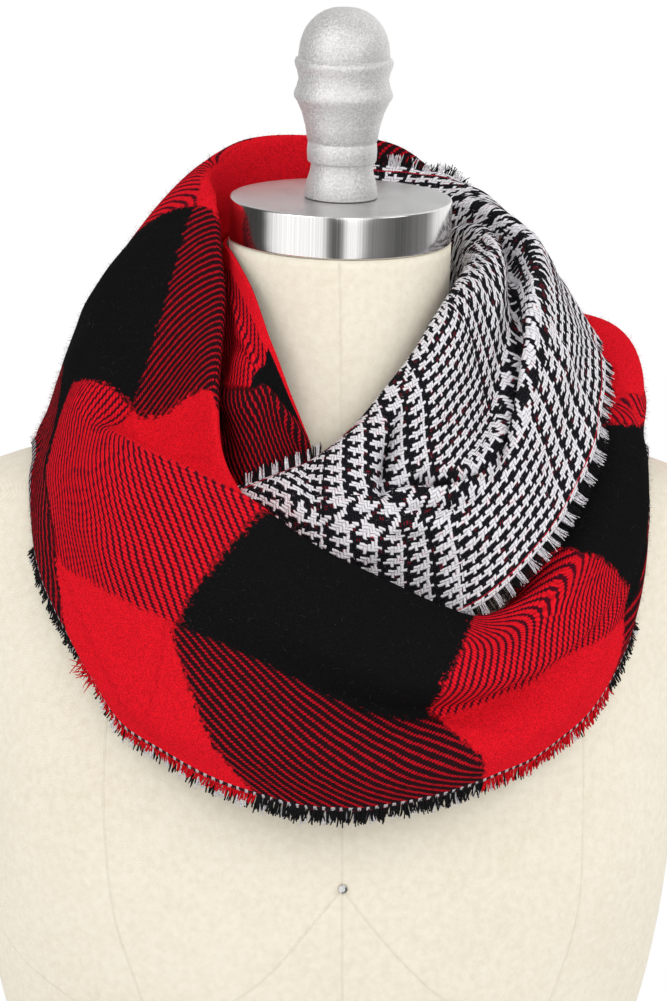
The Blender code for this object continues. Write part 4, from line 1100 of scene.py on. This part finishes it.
# Its checks: a bright red strip at the neck and red cords on dark below it. Past the crest of its fold the
# cloth shows the next check, red lines on black, and between the two a corner of solid black.
crest = np.interp(azimuth, (-69, -45, -33, -25, -20, -16), (3.1, 2.6, 2.2, 1.3, 0.5, 0.2))
below = place > crest
corner = ~below & (azimuth > -34) & (place > 0.35)
strip = ~below & ~corner & (place < 0.55)
stripe = np.where(below | corner, 2.5, 1.5)
row = np.where(below | strip, 0.5, 1.5)
left_checks = np.stack([stripe, row], 2)
left_yarns = np.stack([along, across], 2)
low = below.astype(float)
left_cords = np.stack([(0.86 - 1.19 * low) * along + (-0.51 + 1.45 * low) * across,
                       (0.51 + 0.43 * low) * along + (0.86 - 0.53 * low) * across], 2)
left_edges = np.stack([across + 0.01, across[:, -1:] - across + 0.01], 2)
inner_lap = cloth_shell(
    "inner_lap", left, False, [black_and_white, red_and_black],
    {"yarns": left_yarns, "cords": left_cords, "checks": left_checks, "edges": left_edges},
    edge_side=1)
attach(inner_lap, "root")
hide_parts("inner_wrap_left")
left_tree = surface_tree(inner_lap)


# The hem fringe: along the outer lap's lower edge the weft ends in short cut yarns of spun acrylic. Each is a
# bundle of tapered strands rooted in the edge, red or black on the checked face, white or black behind it.
def yarn_material(name, light, deep):
    material, shader, add, _, join = new_material(name, {"Roughness": 0.95, "Specular IOR Level": 0.08})
    fine = noise(add, own_place(add), 1400.0, 3.0)
    colour = mixed(add, steps_between(add, fine, 0.35, 0.62), (*deep, 1), (*light, 1))
    join(colour, shader.inputs["Base Color"])
    pressed(add, join, shader, fine, 0.5, 0.0004)
    return material


black_yarn = yarn_material("black_yarn", (0.012, 0.012, 0.013), (0.005, 0.005, 0.006))
white_yarn = yarn_material("white_yarn", (0.80, 0.78, 0.80), (0.40, 0.38, 0.42))
red_yarn = yarn_material("red_yarn", (0.72, 0.0060, 0.014), (0.36, 0.0030, 0.007))
YARN_MATERIALS = [black_yarn, white_yarn, red_yarn]
BLACK, WHITE, RED = range(3)
ROOM_AT_STRAND = 0.0004
ROOT_DEPTH = 0.0012
ROOT_SPREAD = 0.0005


class Strands:
    """Gathers tapered strands and makes one mesh of them."""

    def __init__(self, sides, pieces, surfaces=()):
        self.sides, self.pieces, self.surfaces = sides, pieces, surfaces
        self.points, self.faces, self.colours = [], [], []

    def line(self, root, way, square, length, radius, lean, lift):
        """Points of one strand: it leans to its side, and lifts off its surface or sinks to it."""
        side = way.cross(square)
        spots = []
        for k in range(self.pieces + 1):
            t = k / self.pieces
            spot = root + way * (length * t)
            spot = spot + side * (lean * length * t * t) + square * (lift * length * t * t)
            for tree in self.surfaces:
                near, out, _, _ = tree.find_nearest(spot, 0.02)
                if k and near is not None and (spot - near).dot(out) < radius + ROOM_AT_STRAND:
                    spot = near + out * (radius + ROOM_AT_STRAND)
            spots.append(spot)
        return spots

    def add(self, root, way, square, length, radius, lean, lift, colour, taper=0.55):
        """Adds one strand as a tapered rod with as many sides and pieces as the others."""
        spots = self.line(root, way, square, length, radius, lean, lift)
        first = len(self.points)
        for k, spot in enumerate(spots):
            along = (spots[min(k + 1, self.pieces)] - spots[max(k - 1, 0)]).normalized()
            a = along.cross(square).normalized()
            b = along.cross(a)
            r = radius * (1 - taper * k / self.pieces)
            for s in range(self.sides):
                turn = 2 * math.pi * s / self.sides
                self.points.append(spot + a * (r * math.cos(turn)) + b * (r * math.sin(turn)))
        for k in range(self.pieces):
            low = first + k * self.sides
            for s in range(self.sides):
                after = (s + 1) % self.sides
                self.faces.append((low + s, low + after, low + self.sides + after, low + self.sides + s))
        last = first + self.pieces * self.sides
        self.faces.append(tuple(first + s for s in reversed(range(self.sides))))
        self.faces.append(tuple(last + s for s in range(self.sides)))
        self.colours += [colour] * (self.pieces * self.sides + 2)

    def mesh(self, name, materials, node, slot):
        """Makes the mesh, in place of a CAD node where one is given."""
        obj = add_mesh(name, self.points, self.faces, materials, self.colours)
        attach(obj, "root")
        if node:
            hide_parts(node)


def edge_reader(middle, edge, inner, closed):
    """A function that gives place, way off the edge and face normal at any length along an edge."""
    rows = np.concatenate([middle, middle[:1]]) if closed else middle
    line, back = rows[:, edge], rows[:, inner]
    normals = cloth_normals(middle, closed)
    normals = (np.concatenate([normals, normals[:1]]) if closed else normals)[:, edge]
    marks = np.concatenate([[0.0], np.cumsum(np.linalg.norm(np.diff(line, axis=0), axis=1))])
    tangent = np.gradient(line, axis=0)
    tangent /= np.linalg.norm(tangent, axis=1, keepdims=True)
    way = line - back
    way -= tangent * (way * tangent).sum(1, keepdims=True)
    way /= np.linalg.norm(way, axis=1, keepdims=True)

    def read(length):
        spot, off, square = (
            Vector([np.interp(length, marks, v[:, k]) for k in range(3)]) for v in (line, way, normals))
        return spot, off.normalized(), square.normalized()

    return read, marks


def azimuth_of(spot):
    """Degrees round the neck, from the front toward the viewer's right."""
    return math.degrees(math.atan2(spot.x, -spot.y))


dice = random.Random(3)
read, marks = edge_reader(lap, 0, 3, True)
hem_strands = Strands(4, 4, (form_tree,))
hem_stripe = lap_checks[:, 0, 0]
YARN_GAP = 0.00130
for k in range(int(marks[-1] / YARN_GAP)):
    length = (k + 0.5) * YARN_GAP
    spot, off, square = read(length)
    azimuth = azimuth_of(spot)
    stripe = np.interp(length, marks, hem_stripe)
    red_under = int(math.floor(stripe)) % 2 == 1
    face = RED if red_under else BLACK
    plaid = WHITE if (k // 4) % 2 else BLACK
    behind = 1.0 if -112 < azimuth < -71 or 67 < azimuth < 112 else 0.0
    down = Vector((0, 0, -1))
    way = (off + down * 0.10 + square * 0.10).normalized()
    if behind:
        way = (off * 0.3 - square + down * 0.4).normalized()
    short = 0.0026 if red_under and azimuth < -4 else 0.0
    # The bundle's strands: colour, how far in front of the cloth's middle, mean length.
    for colour, side, mean in ((face, 0.0004, 0.0068 - short), (face, 0.0001, 0.0074 - short),
                               (plaid, -0.0002 if short else -0.0006, 0.0086), (plaid, -0.0006, 0.0080)):
        if colour == WHITE and not red_under and dice.random() < 0.35:
            continue
        reach = mean * dice.uniform(0.85, 1.12) * (1 - 0.6 * behind)
        root = spot - off * ROOT_DEPTH + square * side
        root += off.cross(square) * dice.uniform(-ROOT_SPREAD, ROOT_SPREAD)
        lean = 0.10 if side < 0 else 0.26
        hem_strands.add(root, way, square, reach + ROOT_DEPTH, dice.uniform(0.00045, 0.00065),
                        dice.uniform(-lean, lean), dice.uniform(-0.10, 0.25), colour, 0.4)

# One longer red tuft hangs from the hem at the left, where a stripe ends.
near_tuft = slice(60, 200)
hem_azimuths = [azimuth_of(Vector(p)) for p in lap[near_tuft, 0]]
for k in range(16):
    spot, off, square = read(np.interp(-54.5 + 0.16 * k, hem_azimuths, marks[near_tuft]))
    way = (off + Vector((-0.55, 0, 0.1)) * dice.uniform(0.4, 1)).normalized()
    hem_strands.add(spot - off * 0.001, way, square, dice.uniform(0.009, 0.0125), 0.00045,
                    dice.uniform(-0.5, 0.3), dice.uniform(0, 0.3), RED)
hem_strands.mesh("hem_yarns", YARN_MATERIALS, "hem_fringe", "hem_yarn")


# The collar fringe: the same cut yarns along the collar's free edge, from the throat right round to the nape.
# Each is white or black as the plaid's yarn that it ends, and is rooted just inside the edge.
FRINGE_GAP = 0.0011


def plaid_yarn(number, zone):
    """Whether a yarn of the plaid is white, from its number and the number of the band that it lies in."""
    half = 4 if math.sin(zone * math.pi) > 0 else 2
    return WHITE if number % (2 * half) < half else BLACK


def plaid_fringe(strands, edge, inner, first_azimuth, last_azimuth, reach, off_share):
    """Yarns along one line of the collar: off its free edge, or up from its crest."""
    read, marks = edge_reader(collar, edge, inner, False)
    start, end = np.interp((first_azimuth, last_azimuth), COLLAR_AZIMUTHS, marks)
    yarn_numbers = collar_yarns[:, edge, 0] / YARN_PITCH
    for k in range(int((end - start) / FRINGE_GAP)):
        length = start + (k + 0.5) * FRINGE_GAP
        spot, off, square = read(length)
        number = math.floor(np.interp(length, marks, yarn_numbers))
        colour = plaid_yarn(number, np.interp(length, marks, zone_along))
        square = -square
        way = off
        if edge > 0:
            way = (off * off_share + Vector((0, 0, 0.9))).normalized()
        elif spot.z < 0.64:
            way = (off * off_share + Vector((0, 0, -0.10))).normalized()
        for _ in range(3):
            root = spot - off * ROOT_DEPTH + square * dice.uniform(-ROOT_SPREAD, 0.0006)
            root += off.cross(square) * dice.uniform(-ROOT_SPREAD, ROOT_SPREAD)
            strands.add(root, way, square, reach * dice.uniform(0.82, 1.15) + ROOT_DEPTH,
                        dice.uniform(0.00028, 0.00042), dice.uniform(-0.22, 0.22), dice.uniform(-0.12, 0.18),
                        colour, 0.5)


collar_strands = Strands(4, 4, (lap_tree,))
plaid_fringe(collar_strands, -1, -4, 24, 177.5, 0.0062, 1.0)
collar_strands.mesh("collar_yarns", YARN_MATERIALS, "collar_fringe", "collar_yarn")


# The flap fringe: the cut yarns of the cloth's other long edge, which the flap at the throat turns upward.
# They are white or black, stand in a row on the flap's crest and are rooted in it.
flap_strands = Strands(4, 4, (form_tree, left_tree, lap_tree))
plaid_fringe(flap_strands, COLLAR_STEPS, COLLAR_STEPS + 3, -32, -9, 0.0050, 0.3)
flap_strands.mesh("flap_yarns", YARN_MATERIALS, "flap_fringe", "collar_yarn")


# The outer lap's nap: short fibres that stand off the brushed acrylic and soften its outline, raised from the
# yarns by the brushing. Pale stray hairs lie on the black checks.
def nap(strands, middle, closed, outward, count, length, radius, lift, colour_at, seed):
    """Scatters short fibres over one side of a cloth, each with the colour that its place has."""
    dice = random.Random(seed)
    normals = cloth_normals(middle, closed)
    n, m = middle.shape[:2]
    made = 0
    while made < count:
        i, j = dice.randrange(n - 1), dice.randrange(1, m - 1)
        colour = colour_at(i, j, dice)
        if colour is None:
            made += dice.random() < 0.2
            continue
        share = dice.random()
        square = Vector(normals[i, j]) * outward
        spot = Vector(middle[i, j] * share + middle[i, j + 1] * (1 - share))
        spot += square * (HALF_CLOTH - 0.0001)
        spot += Vector(middle[(i + 1) % n, j] - middle[i, j]) * dice.random()
        turn = Vector((dice.gauss(0, 1), dice.gauss(0, 1), dice.gauss(0, 1)))
        flat = (turn - square * turn.dot(square)).normalized()
        up = dice.uniform(*lift)
        way = (flat * (1 - up) + square * up).normalized()
        side = way.cross(flat.cross(square)).normalized()
        strands.add(spot, way, side, dice.uniform(*length), radius, dice.uniform(-0.8, 0.8),
                    dice.uniform(-0.5, 0.1), colour, 0.6)
        made += 1


def lap_colour(i, j, dice):
    """The colour of the check at a point of the lap, and either colour where the check mixes both."""
    stripe, row = (int(math.floor(v)) for v in lap_checks[i, j])
    red_stripe, red_row = stripe % 2 == 1, row % 2 == 0
    if red_stripe == red_row:
        return RED if red_stripe else BLACK
    return RED if dice.random() < 0.5 else BLACK


def pale_on_black(i, j, dice):
    stripe, row = (int(math.floor(v)) for v in lap_checks[i, j])
    return PALE if stripe % 2 == 0 and row % 2 == 1 else None


pale_hair = yarn_material("pale_hair", (0.14, 0.13, 0.14), (0.05, 0.05, 0.05))
NAP_MATERIALS = YARN_MATERIALS + [pale_hair]
PALE = 3
lap_nap = Strands(3, 2)
nap(lap_nap, lap, True, 1, 9000, (0.0012, 0.0028), 0.000055, (0.30, 0.85), lap_colour, 21)
nap(lap_nap, lap, True, 1, 700, (0.0015, 0.0040), 0.000035, (0.05, 0.25), pale_on_black, 22)
lap_nap.mesh("lap_nap", NAP_MATERIALS, None, "buffalo_check")


# The collar's nap: the same short acrylic fibres on the plaid face, white more often than black. They are
# finer there, because the plaid's yarns are thin, and hold in the cloth by their roots.
def collar_colour(i, j, dice):
    return WHITE if dice.random() < 0.6 else BLACK


collar_nap = Strands(3, 2)
nap(collar_nap, collar, False, -1, 2600, (0.0010, 0.0022), 0.000045, (0.25, 0.8), collar_colour, 23)
collar_nap.mesh("collar_nap", NAP_MATERIALS, None, "glen_plaid")


# The inner lap's nap: a few short fibres on the cloth beside the neck, red on its bright strip and black
# elsewhere, brushed up from its yarns as on the outer lap.
def left_colour(i, j, dice):
    return RED if left_checks[i, j, 0] < 2 and left_checks[i, j, 1] < 1 else BLACK


left_nap = Strands(3, 2)
nap(left_nap, left, False, -1, 500, (0.0010, 0.0022), 0.000045, (0.25, 0.8), left_colour, 24)
left_nap.mesh("inner_nap", NAP_MATERIALS, None, "inner_buffalo_check")


# The room: a plain pale floor that fades to white away from the form, a white surround, and broad soft lights
# in front, above and at the sides, as in a small photographic studio.
def floor_material():
    material, shader, add, _, join = new_material(
        "pale_floor", {"Emission Strength": 1.0, "Roughness": 0.9, "Specular IOR Level": 0.0})
    away = add("ShaderNodeVectorMath", {0: own_place(add)}, operation="LENGTH").outputs["Value"]
    far = steps_between(add, away, 0.32, 0.60)
    join(mixed(add, far, (0.86, 0.86, 0.86, 1), (0, 0, 0, 1)), shader.inputs["Base Color"])
    join(mixed(add, far, (0, 0, 0, 1), (1, 1, 1, 1)), shader.inputs["Emission Color"])
    return material


FLOOR_RIMS = (0.3, 0.6, 1.2, 3.0, 30.0)
FLOOR_SIDES = 48
disc = [(0.0, 0.0, 0.0)]
for radius in FLOOR_RIMS:
    for k in range(FLOOR_SIDES):
        turn = math.radians(360 / FLOOR_SIDES * k)
        disc.append((radius * math.cos(turn), radius * math.sin(turn), 0))
disc_faces = [(0, 1 + k, 1 + (k + 1) % FLOOR_SIDES) for k in range(FLOOR_SIDES)]
for ring in range(len(FLOOR_RIMS) - 1):
    low = 1 + FLOOR_SIDES * ring
    high = low + FLOOR_SIDES
    for k in range(FLOOR_SIDES):
        after = (k + 1) % FLOOR_SIDES
        disc_faces.append((low + k, high + k, high + after, low + after))
floor = add_mesh("studio_floor", disc, disc_faces, [floor_material()])
floor.visible_glossy = False


# Directions round the room, in degrees from the camera's side, and how bright the surround is there as
# polished metal sees it: open studio, with dark gaps between the lights.
ROOM_BANDS = (
    (-180, 0.60), (-135, 0.50), (-122, 0.06), (-90, 0.05), (-80, 1.0), (-64, 1.3), (-22, 1.2), (-15, 0.08),
    (-2, 0.10), (2, 1.3), (14, 1.2), (24, 0.28), (60, 0.10), (96, 0.25), (112, 1.0), (150, 1.2), (180, 0.60),
)


def surround(strength):
    """White to the camera, soft light from all round, and bands of light and dark for polished metal."""
    world = bpy.data.worlds.new("white_surround")
    world.use_nodes = True
    back = world.node_tree.nodes["Background"]
    back.inputs["Color"].default_value = (1, 1, 1, 1)
    add, maths, join = tree_tools(world.node_tree)
    path = add("ShaderNodeLightPath").outputs
    around = add("ShaderNodeTexCoord").outputs["Generated"]
    split = add("ShaderNodeSeparateXYZ", {0: around}).outputs
    angle = maths("ARCTAN2", split["X"], maths("MULTIPLY", split["Y"], -1))
    share = add("ShaderNodeMapRange", {"Value": angle, "From Min": -math.pi, "From Max": math.pi})
    ramp = add("ShaderNodeValToRGB", {0: share.outputs["Result"]})
    stops = ramp.color_ramp.elements
    while len(stops) < len(ROOM_BANDS):
        stops.new(0.5)
    for stop, (direction, level) in zip(stops, ROOM_BANDS):
        stop.position = (direction + 180) / 360
        stop.color = (level, level, level, 1)
    glossy = chosen(add, path["Is Glossy Ray"], strength, ramp.outputs[0])
    join(chosen(add, path["Is Camera Ray"], glossy, 1.0), back.inputs["Strength"])
    bpy.context.scene.world = world


def soft_light(name, spot, aim, size, power):
    data = bpy.data.lights.new(name, "AREA")
    data.shape = "RECTANGLE"
    data.size, data.size_y = size
    data.energy = power
    obj = bpy.data.objects.new(name, data)
    bpy.context.scene.collection.objects.link(obj)
    obj.location = spot
    obj.rotation_euler = (Vector(aim) - Vector(spot)).to_track_quat("-Z", "Y").to_euler()
    obj.visible_camera = False


surround(0.86)
soft_light("front_light", (0.35, -2.00, 1.30), (0, 0, 0.48), (1.5, 1.2), 7)
soft_light("left_light", (-1.30, -1.00, 1.75), (0, 0, 0.52), (1.0, 1.0), 6.5)
soft_light("right_light", (1.35, -0.95, 1.75), (0, 0, 0.52), (1.0, 1.0), 6.5)

# The camera stands two metres off, a little to the viewer's left, and looks down on the neck as the
# photograph does.
PITCH, YAW, ROLL = math.radians(14.5), math.radians(4.5), math.radians(1.4)
toward = Vector((-math.sin(YAW), -math.cos(YAW), 0))
sight = -toward * math.cos(PITCH) - Vector((0, 0, math.sin(PITCH)))
side = sight.cross(Vector((0, 0, 1))).normalized()
above = side.cross(sight)
right = side * math.cos(ROLL) + above * math.sin(ROLL)
above = above * math.cos(ROLL) - side * math.sin(ROLL)
lens = bpy.data.cameras.new("photo_view")
lens.lens = 143.14
lens.sensor_width = lens.sensor_height = 36
lens.dof.use_dof = False
camera = bpy.data.objects.new("photo_view", lens)
bpy.context.scene.collection.objects.link(camera)
eye = Vector((0, 0, 0.5255)) - sight * 2.0
camera.matrix_world = Matrix((
    (right.x, above.x, -sight.x, eye.x),
    (right.y, above.y, -sight.y, eye.y),
    (right.z, above.z, -sight.z, eye.z),
    (0, 0, 0, 1),
))
bpy.context.scene.camera = camera
bpy.context.scene.view_settings.view_transform = "Standard"
